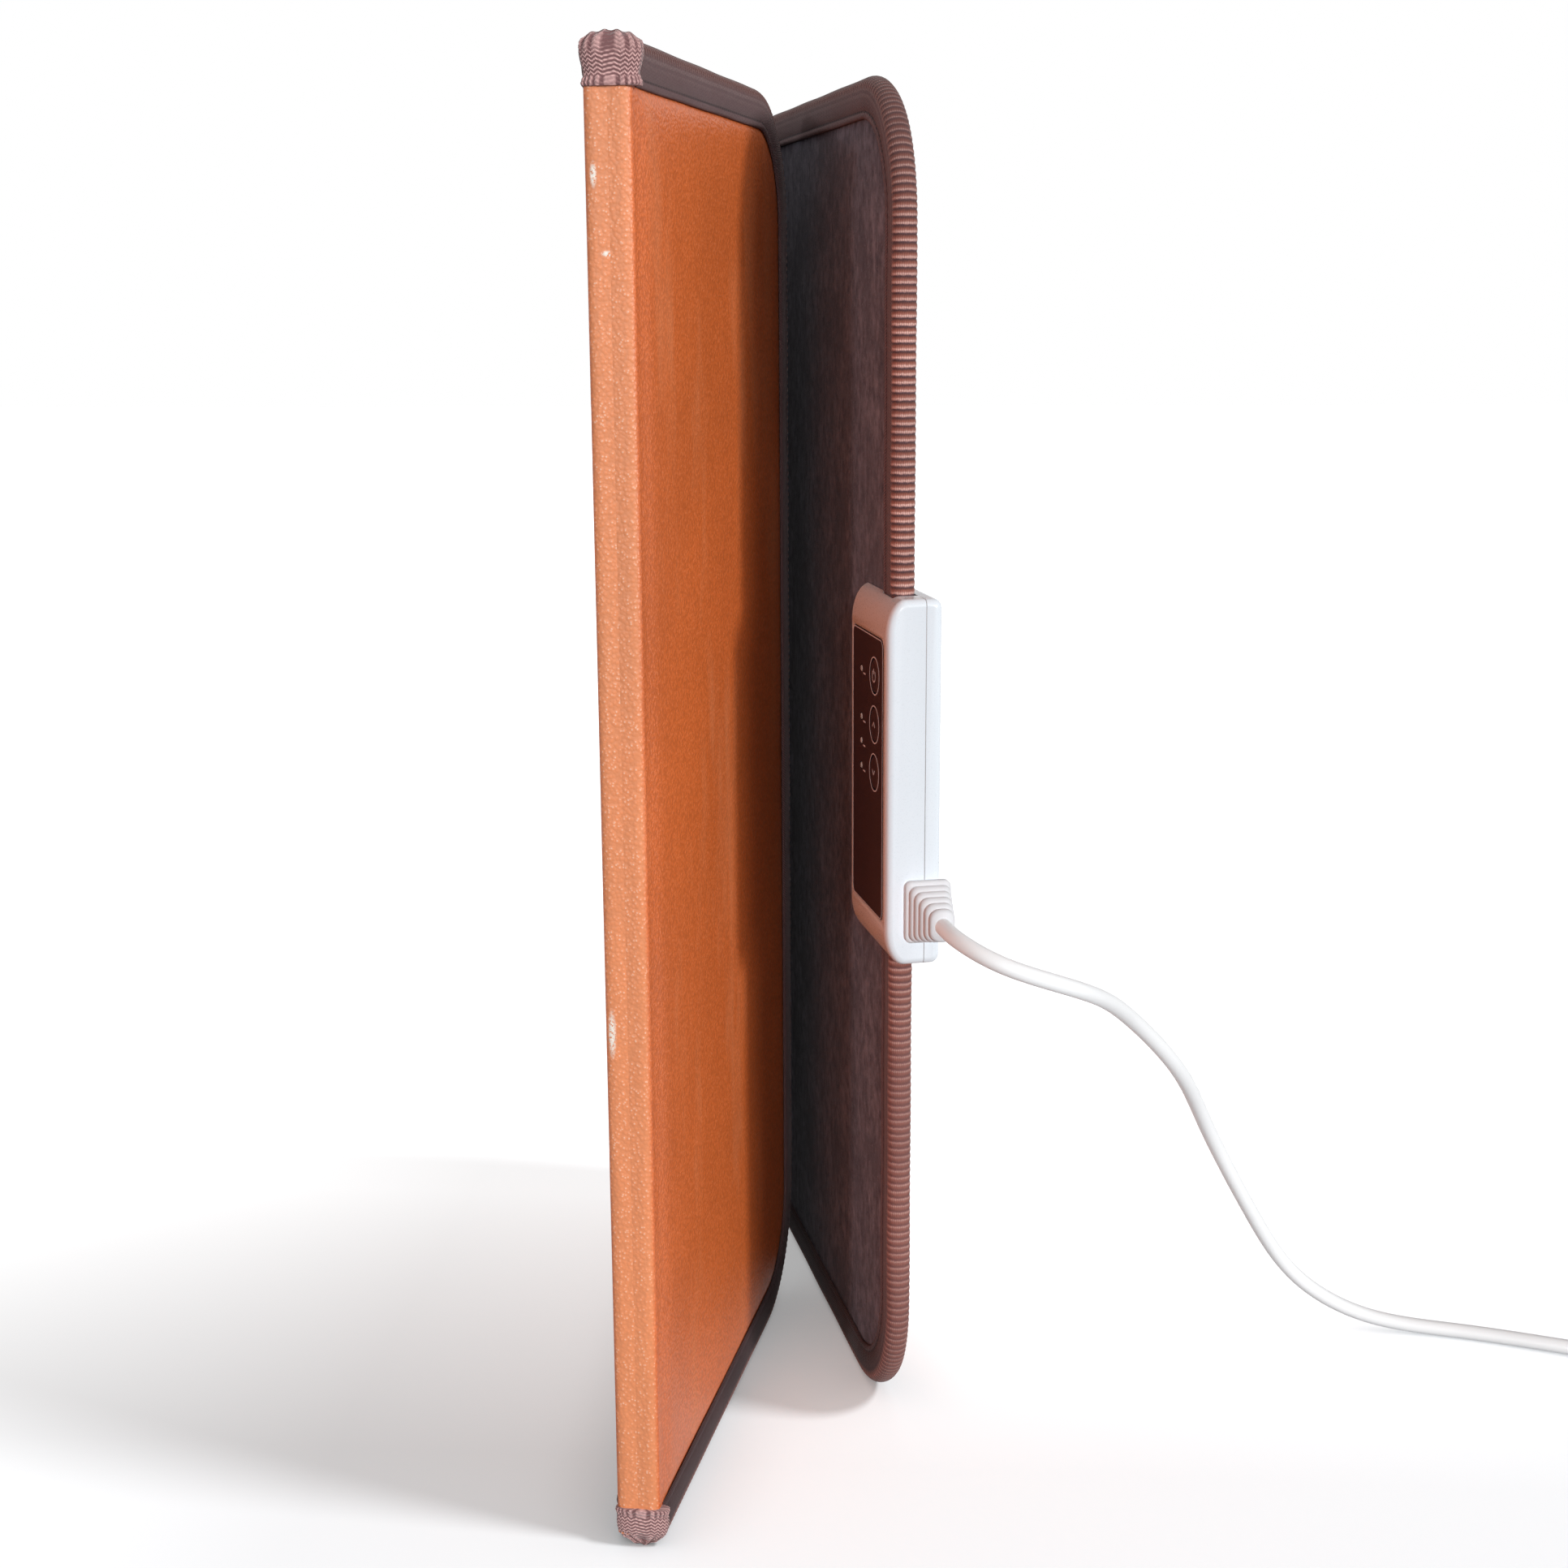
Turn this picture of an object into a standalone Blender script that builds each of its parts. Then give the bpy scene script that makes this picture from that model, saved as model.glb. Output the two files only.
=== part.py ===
"""A folding under desk heater: three padded panels joined by two fabric spines, with a
hand-sized controller clipped over the free edge of the right wing and its mains cord.

The origin is the centre of the back panel's foot. X runs along the back panel from the
left spine to the right one, the felt side faces -Y, and Z is up. The panels stand folded:
the left wing lies on the back panel's felt, and the right wing stands a little further out.
"""

import math

import bmesh
import bpy
import numpy as np
from mathutils import Matrix, Vector

# Panels, in metres
PANEL_HEIGHT = 0.500
PANEL_THICK = 0.0062
BACK_WIDTH = 0.308
LEFT_WIDTH = 0.218
RIGHT_WIDTH = 0.240
FREE_CORNER = 0.050
HINGE_SETBACK = 0.0042

# Spines between the panels: as wide as the panels that they wrap, plus the space left inside
LEFT_SPINE = 2 * PANEL_THICK + 0.0024
RIGHT_SPINE = 2 * PANEL_THICK + 0.018
LEFT_HALF_FOLD = math.radians(86.23)
RIGHT_HALF_FOLD = math.radians(81.85)

# Layers of a panel, measured from the felt's face towards the leather's
FELT = (0.0, 0.0009)
FILM = (0.0012, 0.0015)
FOAM = (0.0018, 0.0029)
BOARD = (0.0032, 0.0050)
LEATHER = (0.0053, PANEL_THICK)
COVER_INSET = 0.0014
INNER_INSET = 0.0030

# The woven tape that binds the edges
TAPE_WIDTH = 0.0145
TAPE_WALL = 0.0008
TAPE_SEAT = 0.0003
TAPE_ROUND = 0.0022
CORNER_STEPS = 9

# Layers of a spine, measured from the leather's face inwards, and its end caps
SPINE_LEATHER = (0.0, 0.0009)
SPINE_LEAD = (0.0012, 0.0016)
SPINE_FELT = (0.0019, 0.0028)
SPINE_INSET = 0.0012
CAP_OUTSIDE = 0.0011
CAP_INSIDE = 0.0039
CAP_OVERHANG = 0.0016
FIT = 0.0003

# Controller, in its own frame: X from the wing's free edge outwards, Y from the felt's face
# towards the leather's, Z up from the floor
CASE_X = (-0.043, 0.011)
CASE_Y = (-0.0063, 0.0139)
CASE_Z = (0.189, 0.321)
CASE_WALL = 0.0022
CASE_FRONT_ROUND = (0.013, 0.007)
CASE_BACK_ROUND = 0.0032
CASE_SIDE_BEVEL = 0.0025
PARTING_Y = (0.00775, 0.00805)
NOTCH_DEPTH = 0.036
NOTCH_Z = (0.196, 0.314)
OVERLAY_X = (-0.038, 0.006)
OVERLAY_Z = (0.2046, 0.3062)
OVERLAY_Y = (-0.0065, -0.0058)
RECESS_Y = -0.0055
OVERLAY_CORNER = 0.003
BUTTON_X = -0.006
BUTTON_Z = {"power_button": 0.2919, "up_button": 0.2743, "down_button": 0.2568}
BUTTON_RADIUS = 0.00615
BUTTON_HOLE = 0.00645
LENS_X = -0.025
LENS_Z = (0.2917, 0.2740, 0.2650, 0.2557)
LENS_RADIUS = 0.0012
LENS_HOLE = 0.0015
BOSSES = ((-0.031, 0.306), (-0.031, 0.201), (0.0035, 0.306), (0.0035, 0.228))
BOSS_RADIUS = 0.0030
CIRCUIT_X = (-0.0275, -0.0005)
CIRCUIT_Y = (0.0028, 0.0044)
CIRCUIT_Z = (0.214, 0.300)
CORD_HOLE = (0.0036, 0.0060)  # half sizes of the strain relief's hole across and along the case
CLEAR = 0.004  # how far a cutter runs past what it cuts

# Cord, in metres
CORD_DIAMETER = 0.0060
CORD_EXIT = (0.0336, 0.00845, 0.2095)
CORD_STRAIGHT = 0.005
CORD_LEAD = 0.0165
CORD_STEP = 0.010
CORD_LANDING = 0.022
CORD_GUIDES = (
    (-0.135, -0.128, 0.204),
    (-0.129, -0.158, 0.195),
    (-0.084, -0.172, 0.174),
    (-0.053, -0.198, 0.140),
    (-0.019, -0.209, 0.107),
    (0.003, -0.234, 0.057),
    (0.023, -0.253, 0.022),
    (0.024, -0.285, 0.0032),
    (0.019, -0.325, 0.0032),
    (0.003, -0.373, 0.0032),
)

# The put-away coil lies beside the heater, in two layers of three turns and a bit
COIL_START = (-0.0095, -0.4160)
COIL_HEADING = math.radians(254.9)
COIL_RADIUS = 0.0430
COIL_PITCH = 0.0066
COIL_LAYERS_Z = (0.0044, 0.0110)
COIL_POINTS_A_TURN = 24
COIL_STEPS = 149
COIL_EXIT_RUN = 0.026
TIE_TURNS = 0.40
TIE_WIDTH = 0.009
TIE_WALL = 0.0009

COLOURS = {
    "orange_leather": ((0.78, 0.38, 0.17), 0.55, 0.0),
    "grey_felt": ((0.17, 0.15, 0.15), 0.95, 0.0),
    "brown_tape": ((0.16, 0.09, 0.085), 0.9, 0.0),
    "grey_board": ((0.30, 0.29, 0.27), 0.8, 0.0),
    "white_foam": ((0.75, 0.75, 0.72), 0.9, 0.0),
    "black_film": ((0.03, 0.03, 0.03), 0.5, 0.0),
    "white_plastic": ((0.85, 0.85, 0.85), 0.35, 0.0),
    "maroon_overlay": ((0.09, 0.04, 0.045), 0.3, 0.0),
    "maroon_button": ((0.09, 0.04, 0.045), 0.35, 0.0),
    "clear_lens": ((0.75, 0.75, 0.72), 0.15, 0.0),
    "green_board": ((0.03, 0.20, 0.09), 0.5, 0.0),
    "black_plastic": ((0.03, 0.03, 0.03), 0.45, 0.0),
    "white_vinyl": ((0.86, 0.86, 0.84), 0.4, 0.0),
    "steel": ((0.62, 0.62, 0.62), 0.3, 1.0),
    "brass": ((0.78, 0.62, 0.30), 0.3, 1.0),
}

ACROSS = (math.pi / 2, 0.0, 0.0)  # an outline drawn in X and Z, with its normal along -Y
ALONG = (0.0, -math.pi / 2, 0.0)  # an outline drawn in Z and Y, with its normal along -X
FLAT = (0.0, 0.0, 0.0)


def clear_scene():
    for old in list(bpy.data.objects):
        bpy.data.objects.remove(old, do_unlink=True)


def make_collection(name):
    found = bpy.data.collections.new(name)
    bpy.context.scene.collection.children.link(found)
    return found


def make_material(name):
    colour, roughness, metallic = COLOURS[name]
    made = bpy.data.materials.new(name)
    made.use_nodes = True
    shader = made.node_tree.nodes["Principled BSDF"]
    shader.inputs["Base Color"].default_value = (*colour, 1.0)
    shader.inputs["Roughness"].default_value = roughness
    shader.inputs["Metallic"].default_value = metallic
    made.diffuse_color = (*colour, 1.0)
    return made


clear_scene()
PARTS = make_collection("under_desk_heater_panel")
CUTTERS = make_collection("cutters")
MATERIALS = {name: make_material(name) for name in COLOURS}


def place(made, material=None, parent=None, location=(0, 0, 0), rotation=FLAT, cutter=False):
    """Link an object into its collection, under its parent."""
    (CUTTERS if cutter else PARTS).objects.link(made)
    made.parent = parent
    made.location = location
    made.rotation_euler = rotation
    if material:
        made.data.materials.append(MATERIALS[material])
    if cutter:
        made.hide_render = True
        made.display_type = "WIRE"
    return made


def make_frame(name, parent=None, location=(0, 0, 0), turn=0.0):
    """An empty that carries pieces, turned about Z."""
    made = bpy.data.objects.new(name, None)
    made.empty_display_size = 0.02
    return place(made, parent=parent, location=location, rotation=(0, 0, turn))


def as_mesh(source, bevel=None):
    """Turn a curve into a closed mesh in the same place, with one bevel on its sharp edges."""
    bpy.context.view_layer.update()
    graph = bpy.context.evaluated_depsgraph_get()
    mesh = bpy.data.meshes.new_from_object(source.evaluated_get(graph))
    work = bmesh.new()
    work.from_mesh(mesh)
    bmesh.ops.remove_doubles(work, verts=work.verts, dist=1e-6)
    bmesh.ops.recalc_face_normals(work, faces=work.faces)
    bmesh.ops.dissolve_limit(work, angle_limit=0.001, verts=work.verts, edges=work.edges)
    work.to_mesh(mesh)
    work.free()
    name, parent, home = source.name, source.parent, source.users_collection[0]
    location, rotation = source.location.copy(), source.rotation_euler.copy()
    hidden, shown_as = source.hide_render, source.display_type
    bpy.data.objects.remove(source, do_unlink=True)
    made = bpy.data.objects.new(name, mesh)
    home.objects.link(made)
    made.parent = parent
    made.location = location
    made.rotation_euler = rotation
    made.hide_render = hidden
    made.display_type = shown_as
    if bevel:
        width, segments, angle = bevel
        edge = made.modifiers.new("edges", "BEVEL")
        edge.width = width
        edge.segments = segments
        edge.limit_method = "ANGLE"
        edge.angle_limit = math.radians(angle)
        edge.use_clamp_overlap = False
    return made


def boolean(target, cutter, operation="DIFFERENCE"):
    step = target.modifiers.new(cutter.name, "BOOLEAN")
    step.operation = operation
    step.solver = "EXACT"
    step.object = cutter


def rounded(corners, steps=CORNER_STEPS):
    """Points round a closed outline, listed as (u, w, radius) corners in counter-clockwise order."""
    points = []
    for k, (u, w, radius) in enumerate(corners):
        here = Vector((u, w))
        if radius <= 0:
            points.append(here)
            continue
        before = (Vector(corners[k - 1][:2]) - here).normalized()
        after = (Vector(corners[(k + 1) % len(corners)][:2]) - here).normalized()
        half = before.angle(after) / 2
        reach = radius / math.tan(half)
        centre = here + (before + after).normalized() * radius / math.sin(half)
        start = here + before * reach - centre
        turn = (here + after * reach - centre).angle_signed(start)
        for step in range(steps + 1):
            points.append(centre + Matrix.Rotation(turn * step / steps, 2) @ start)
    return points


def box_corners(u, w, radius=0.0):
    return [(u[0], w[0], radius), (u[1], w[0], radius), (u[1], w[1], radius), (u[0], w[1], radius)]


def circle(u, w, radius, steps=32):
    turns = (2 * math.pi * k / steps for k in range(steps))
    return [Vector((u + radius * math.cos(turn), w + radius * math.sin(turn))) for turn in turns]


def prism(name, loops, plane, span, material=None, parent=None, cutter=False):
    """A flat outline with its holes, extruded over a span of the axis that it is square to."""
    middle, half = (span[0] + span[1]) / 2, (span[1] - span[0]) / 2
    curve = bpy.data.curves.new(name, "CURVE")
    curve.dimensions = "2D"
    curve.fill_mode = "BOTH"
    curve.extrude = half
    for loop in loops:
        spline = curve.splines.new("POLY")
        spline.points.add(len(loop) - 1)
        for point, at in zip(spline.points, loop):
            point.co = (at[0], at[1], 0.0, 1.0)
        spline.use_cyclic_u = True
    location = {ACROSS: (0, middle, 0), ALONG: (middle, 0, 0), FLAT: (0, 0, middle)}[plane]
    return place(bpy.data.objects.new(name, curve), material, parent, location, plane, cutter)


def box(name, x, y, z, parent, material=None, cutter=False, bevel=None):
    """A block over three spans, made from a unit cube."""
    work = bmesh.new()
    bmesh.ops.create_cube(work, size=1.0)
    size = Matrix.Diagonal((x[1] - x[0], y[1] - y[0], z[1] - z[0], 1.0))
    bmesh.ops.transform(work, matrix=size, verts=work.verts)
    mesh = bpy.data.meshes.new(name)
    work.to_mesh(mesh)
    work.free()
    centre = ((x[0] + x[1]) / 2, (y[0] + y[1]) / 2, (z[0] + z[1]) / 2)
    made = place(bpy.data.objects.new(name, mesh), material, parent, centre, FLAT, cutter)
    if bevel:
        edge = made.modifiers.new("edges", "BEVEL")
        edge.width = bevel
        edge.segments = 2
    return made


def rod(name, x, z, radius, y, parent, cutter=True, material=None, steps=32):
    """A round bar along the controller's Y axis."""
    work = bmesh.new()
    depth = y[1] - y[0]
    bmesh.ops.create_cone(work, cap_ends=True, segments=steps, radius1=radius, radius2=radius, depth=depth)
    mesh = bpy.data.meshes.new(name)
    work.to_mesh(mesh)
    work.free()
    middle = (x, (y[0] + y[1]) / 2, z)
    return place(bpy.data.objects.new(name, mesh), material, parent, middle, ACROSS, cutter)


def turned_mesh(name, profile, steps=24):
    """Revolve a profile of (radius, height) points, listed from its top on the axis to its foot."""
    mesh = bpy.data.meshes.new(name + "_profile")
    points = [(radius, 0.0, height) for radius, height in profile]
    mesh.from_pydata(points, [(k, k + 1) for k in range(len(points) - 1)], [])
    guide = place(bpy.data.objects.new(name + "_profile", mesh), cutter=True)
    screw = guide.modifiers.new("turn", "SCREW")
    screw.steps = steps
    screw.render_steps = steps
    screw.use_merge_vertices = True
    screw.merge_threshold = 1e-6
    bpy.context.view_layer.update()
    made = bpy.data.meshes.new_from_object(guide.evaluated_get(bpy.context.evaluated_depsgraph_get()))
    made.name = name
    bpy.data.objects.remove(guide, do_unlink=True)
    made.shade_smooth()
    made.set_sharp_from_angle(angle=math.radians(35))
    return made


def copies_of(name, mesh, places, material, parent):
    """One object that holds a separate copy of a mesh at each place, its axis turned to face -Y."""
    work = bmesh.new()
    turn = Matrix.Rotation(math.pi / 2, 4, "X")
    for at in places:
        start = len(work.verts)
        work.from_mesh(mesh)
        work.verts.ensure_lookup_table()
        bmesh.ops.transform(work, matrix=Matrix.Translation(at) @ turn, verts=work.verts[start:])
    made = bpy.data.meshes.new(name)
    work.to_mesh(made)
    work.free()
    return place(bpy.data.objects.new(name, made), material, parent)


def ring(half_y, half_z, radius, steps=4):
    """Offsets round a rounded rectangle in Y and Z."""
    return rounded(box_corners((-half_y, half_y), (-half_z, half_z), radius), steps)


def loft(name, sections, centre, material, parent):
    """Skin rounded rectangles that follow each other along X: (x, half_y, half_z, radius)."""
    work = bmesh.new()
    rings = [
        [work.verts.new((x, centre[0] + p[0], centre[1] + p[1])) for p in ring(half_y, half_z, radius)]
        for x, half_y, half_z, radius in sections
    ]
    for near, far in zip(rings, rings[1:]):
        for k in range(len(near)):
            after = (k + 1) % len(near)
            work.faces.new((near[k], near[after], far[after], far[k]))
    work.faces.new(list(reversed(rings[0])))
    work.faces.new(rings[-1])
    bmesh.ops.recalc_face_normals(work, faces=work.faces)
    mesh = bpy.data.meshes.new(name)
    work.to_mesh(mesh)
    work.free()
    mesh.shade_smooth()
    mesh.set_sharp_from_angle(angle=math.radians(35))
    return place(bpy.data.objects.new(name, mesh), material, parent)


def tube(name, points, diameter, resolution, material, parent=None):
    """A round bar of one diameter through its points, with flat ends."""
    curve = bpy.data.curves.new(name, "CURVE")
    curve.dimensions = "3D"
    curve.bevel_depth = diameter / 2
    curve.bevel_resolution = resolution
    curve.use_fill_caps = True
    spline = curve.splines.new("POLY")
    spline.points.add(len(points) - 1)
    for point, at in zip(spline.points, points):
        point.co = (*at, 1.0)
    return place(bpy.data.objects.new(name, curve), material, parent)


def smooth_route(guides, step):
    """Points at even steps along a cubic B-spline, which the guides pull without a corner."""
    guides = np.array(guides)
    ends = 2 * guides[[0, -1]] - guides[[1, -2]]
    guides = np.vstack([ends[:1], guides, ends[1:]])
    t = np.linspace(0, 1, 24, endpoint=False)[:, None]
    pulls = ((1 - t) ** 3, 3 * t**3 - 6 * t**2 + 4, 3 * t * (1 + t - t**2) + 1, t**3)
    pieces = [
        sum(pull * guide for pull, guide in zip(pulls, guides[k : k + 4])) / 6 for k in range(len(guides) - 3)
    ]
    line = np.vstack([*pieces, guides[-2:-1]])
    along = np.concatenate([[0], np.cumsum(np.linalg.norm(np.diff(line, axis=0), axis=1))])
    even = np.linspace(0, along[-1], round(along[-1] / step) + 1)
    return np.stack([np.interp(even, along, line[:, k]) for k in range(3)], axis=1)


# Frames: each panel and spine hangs from an empty on its fold line


def make_frames():
    reach, leather_face = BACK_WIDTH / 2 + HINGE_SETBACK, PANEL_THICK / 2
    left_spine = make_frame("left_spine_pivot", None, (-reach, leather_face, 0), LEFT_HALF_FOLD)
    left_wing = make_frame("left_wing_pivot", left_spine, (-LEFT_SPINE, 0, 0), LEFT_HALF_FOLD)
    right_spine = make_frame("right_spine_pivot", None, (reach, leather_face, 0), -RIGHT_HALF_FOLD)
    right_wing = make_frame("right_wing_pivot", right_spine, (RIGHT_SPINE, 0, 0), -RIGHT_HALF_FOLD)
    back = make_frame("back_panel_frame", None, (-reach, leather_face, 0))
    controller = make_frame("controller_frame", right_wing, (HINGE_SETBACK + RIGHT_WIDTH, -PANEL_THICK, 0))
    return {
        "left_spine": left_spine,
        "left_wing": left_wing,
        "right_spine": right_spine,
        "right_wing": right_wing,
        "back": back,
        "controller": controller,
    }


# Panels: in a panel's frame X runs from the fold line, Y = 0 is the leather's face


def panel_x(distance, side):
    """X in a panel's frame of a distance from its hinge edge; the left wing runs towards -X."""
    return side * (HINGE_SETBACK + distance)


def wing_corners(width, side, inset, notch, tongue):
    """Outline of one layer of a wing, square at the fold and round at the free corners."""
    far, low, high = width - inset, inset, PANEL_HEIGHT - inset
    corner = FREE_CORNER - inset
    corners = [(inset, low, 0), (far, low, corner)]
    if notch:
        gap = inset - COVER_INSET
        deep = width - NOTCH_DEPTH - gap
        bottom, top = NOTCH_Z[0] - gap, NOTCH_Z[1] + gap
        corners += [(far, bottom, 0), (deep, bottom, 0), (deep, top, 0), (far, top, 0)]
    corners += [(far, high, corner), (inset, high, 0)]
    if tongue:
        reach = TAPE_WIDTH + TAPE_SEAT
        corners += [
            (inset, PANEL_HEIGHT - reach, 0),
            (-HINGE_SETBACK, PANEL_HEIGHT - reach, 0),
            (-HINGE_SETBACK, reach, 0),
            (inset, reach, 0),
        ]
    return [(panel_x(a, side), z, radius) for a, z, radius in corners]


def back_corners(inset, tongue):
    """Outline of one layer of the back panel, whose leather runs out to both fold lines."""
    low, high = inset, PANEL_HEIGHT - inset
    near, far = panel_x(inset, 1), panel_x(BACK_WIDTH - inset, 1)
    if not tongue:
        return box_corners((near, far), (low, high))
    reach = TAPE_WIDTH + TAPE_SEAT
    first, last = 0.0, BACK_WIDTH + 2 * HINGE_SETBACK
    up = PANEL_HEIGHT - reach
    corners = [(near, low), (far, low), (far, reach), (last, reach), (last, up), (far, up)]
    corners += [(far, high), (near, high), (near, up), (first, up), (first, reach), (near, reach)]
    return [(x, z, 0) for x, z in corners]


def depth_span(layer):
    return (layer[0] - PANEL_THICK, layer[1] - PANEL_THICK)


def make_layers(name, parent, corners_of, pockets):
    """The felt, heating film, foam, board and leather of one panel."""
    stack = (
        ("felt_lining", FELT, COVER_INSET, "grey_felt"),
        ("heating_film", FILM, INNER_INSET, "black_film"),
        ("foam_pad", FOAM, INNER_INSET, "white_foam"),
        ("core_board", BOARD, INNER_INSET, "grey_board"),
        ("leather_cover", LEATHER, COVER_INSET, "orange_leather"),
    )
    for layer, span, inset, material in stack:
        loops = [rounded(corners_of(inset, layer == "leather_cover"))]
        loops += [rounded(corners, 3) for corners in pockets.get(layer, [])]
        prism(f"{name}_{layer}", loops, ACROSS, depth_span(span), material, parent)


def tape_profile(outside, inside, seat_low, seat_high, width):
    """Section of a folded tape as a closed loop: U across the edge, W from the edge inwards."""
    corners = [
        (seat_low, width, 0),
        (seat_low, TAPE_WALL, TAPE_ROUND - TAPE_WALL),
        (seat_high, TAPE_WALL, TAPE_ROUND - TAPE_WALL),
        (seat_high, width, 0),
        (outside, width, 0),
        (outside, 0, TAPE_ROUND),
        (inside, 0, TAPE_ROUND),
        (inside, width, 0),
    ]
    return rounded(corners, 3)


def make_binding(name, path, parent):
    """Sweep the tape's section along the panel's edge, open side inwards."""
    half_slot = PANEL_THICK / 2 + TAPE_SEAT
    half_tape = half_slot + TAPE_WALL
    section = tape_profile(half_tape, -half_tape, -half_slot, half_slot, TAPE_WIDTH)
    work = bmesh.new()
    rings = []
    for k, at in enumerate(path):
        before = (at - path[k - 1]).normalized() if k else None
        after = (path[k + 1] - at).normalized() if k + 1 < len(path) else None
        ahead = ((before or after) + (after or before)).normalized()
        inwards = Vector((-ahead.y, ahead.x)) / (ahead.dot(after or before))
        rings.append(
            [
                work.verts.new((at.x + inwards.x * p[1], -PANEL_THICK / 2 + p[0], at.y + inwards.y * p[1]))
                for p in section
            ]
        )
    for near, far in zip(rings, rings[1:]):
        for k in range(len(section)):
            after = (k + 1) % len(section)
            work.faces.new((near[k], near[after], far[after], far[k]))
    work.faces.new(list(reversed(rings[0])))
    work.faces.new(rings[-1])
    bmesh.ops.recalc_face_normals(work, faces=work.faces)
    mesh = bpy.data.meshes.new(name)
    work.to_mesh(mesh)
    work.free()
    mesh.shade_smooth()
    mesh.set_sharp_from_angle(angle=math.radians(35))
    return place(bpy.data.objects.new(name, mesh), "brown_tape", parent)


def make_left_wing(frames):
    parent = frames["left_wing"]
    make_layers("left", parent, lambda inset, tongue: wing_corners(LEFT_WIDTH, -1, inset, False, tongue), {})
    near, far = panel_x(0, -1), panel_x(LEFT_WIDTH, -1)
    top = PANEL_HEIGHT
    path = rounded([(near, top, 0), (far, top, FREE_CORNER), (far, 0, FREE_CORNER), (near, 0, 0)])
    make_binding("left_edge_binding", path, parent)


def make_back_panel(frames):
    parent = frames["back"]
    pocket = box_corners((0.275, 0.289), (0.2, 0.234), 0.0015)
    layers = {"foam_pad": [pocket], "core_board": [pocket]}
    make_layers("back", parent, back_corners, layers)
    near, far = panel_x(0, 1), panel_x(BACK_WIDTH, 1)
    make_binding("back_top_binding", [Vector((far, PANEL_HEIGHT)), Vector((near, PANEL_HEIGHT))], parent)
    make_binding("back_bottom_binding", [Vector((near, 0)), Vector((far, 0))], parent)
    span = depth_span((0.0021, 0.0047))
    box("overheat_cutout", (0.2757, 0.2883), span, (0.2007, 0.2333), parent, "black_plastic", bevel=0.0006)


def make_right_wing(frames):
    parent = frames["right_wing"]
    sensor_x, sensor_z = (panel_x(0.186, 1), panel_x(0.192, 1)), (0.250, 0.260)
    pocket = box_corners(sensor_x, sensor_z, 0.001)
    make_layers(
        "right",
        parent,
        lambda inset, tongue: wing_corners(RIGHT_WIDTH, 1, inset, True, tongue),
        {"foam_pad": [pocket]},
    )
    sensor = [
        box_corners((sensor_x[0] + FIT, sensor_x[1] - FIT), (sensor_z[0] + FIT, sensor_z[1] - FIT), 0.001)
    ]
    span = depth_span((0.0019, 0.0028))
    prism("temperature_sensor", [rounded(sensor[0], 3)], ACROSS, span, "black_plastic", parent)
    near, far = panel_x(0, 1), panel_x(RIGHT_WIDTH, 1)
    top, low_end, high_end = PANEL_HEIGHT, CASE_Z[0] + 0.002, CASE_Z[1] - 0.002
    upper = rounded([(far, high_end, 0), (far, top, FREE_CORNER), (near, top, 0)])
    lower = rounded([(near, 0, 0), (far, 0, FREE_CORNER), (far, low_end, 0)])
    make_binding("right_edge_binding_upper", upper, parent)
    make_binding("right_edge_binding_lower", lower, parent)


# Spines: in a spine's frame X runs along its width, Y = 0 is the leather's face


def make_spine(name, parent, width, side):
    low, high = COVER_INSET, PANEL_HEIGHT - COVER_INSET
    across = (SPINE_INSET, width - SPINE_INSET)
    lead = (width / 2 - 0.005, width / 2 + 0.005)

    def sheet(piece, layer, span_x, span_z, material):
        x = sorted(side * a for a in span_x)
        box(f"{name}_{piece}", x, (-layer[1], -layer[0]), span_z, parent, material)

    sheet("spine_leather", SPINE_LEATHER, across, (low, high), "orange_leather")
    sheet("spine_lead", SPINE_LEAD, lead, (0.215, 0.245), "black_film")
    sheet("spine_felt", SPINE_FELT, across, (low, high), "grey_felt")
    profile = tape_profile(CAP_OUTSIDE, -CAP_INSIDE, -SPINE_FELT[1] - FIT, FIT, TAPE_WIDTH)
    span = sorted((side * -CAP_OVERHANG, side * (width + CAP_OVERHANG)))
    top = [Vector((PANEL_HEIGHT - p[1], p[0])) for p in profile]
    foot = [Vector((p[1], p[0])) for p in profile]
    for piece, loop in (("spine_cap_top", top), ("spine_cap_bottom", foot)):
        prism(f"{name}_{piece}", [loop], ALONG, span, "brown_tape", parent)


# Controller


def case_outline(inset):
    """Section of the housing in Z and Y: shallow round front corners and small back ones."""
    low, high = CASE_Z[0] + inset, CASE_Z[1] - inset
    front, back = CASE_Y[0] + inset, CASE_Y[1] - inset
    reach_z, reach_y = CASE_FRONT_ROUND[0] - inset, CASE_FRONT_ROUND[1] - inset
    points = []
    steps = 10
    for centre, first in ((low + reach_z, math.pi), (high - reach_z, 1.5 * math.pi)):
        for k in range(steps + 1):
            angle = first + math.pi / 2 * k / steps
            points.append((centre + reach_z * math.cos(angle), front + reach_y * (1 + math.sin(angle))))
    radius = max(CASE_BACK_ROUND - inset, 0.0004)
    for centre, first in ((high - radius, 0.0), (low + radius, math.pi / 2)):
        for k in range(5):
            angle = first + math.pi / 8 * k
            points.append((centre + radius * math.cos(angle), back - radius * (1 - math.sin(angle))))
    return points


def case_solid(name, inset, parent, cutter):
    span = (CASE_X[0] + inset, CASE_X[1] - inset)
    solid = prism(name, [case_outline(inset)], ALONG, span, None, parent, cutter)
    bevel = (CASE_SIDE_BEVEL, 3, 60) if not inset else (0.0006, 1, 60)
    return as_mesh(solid, bevel)


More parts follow.
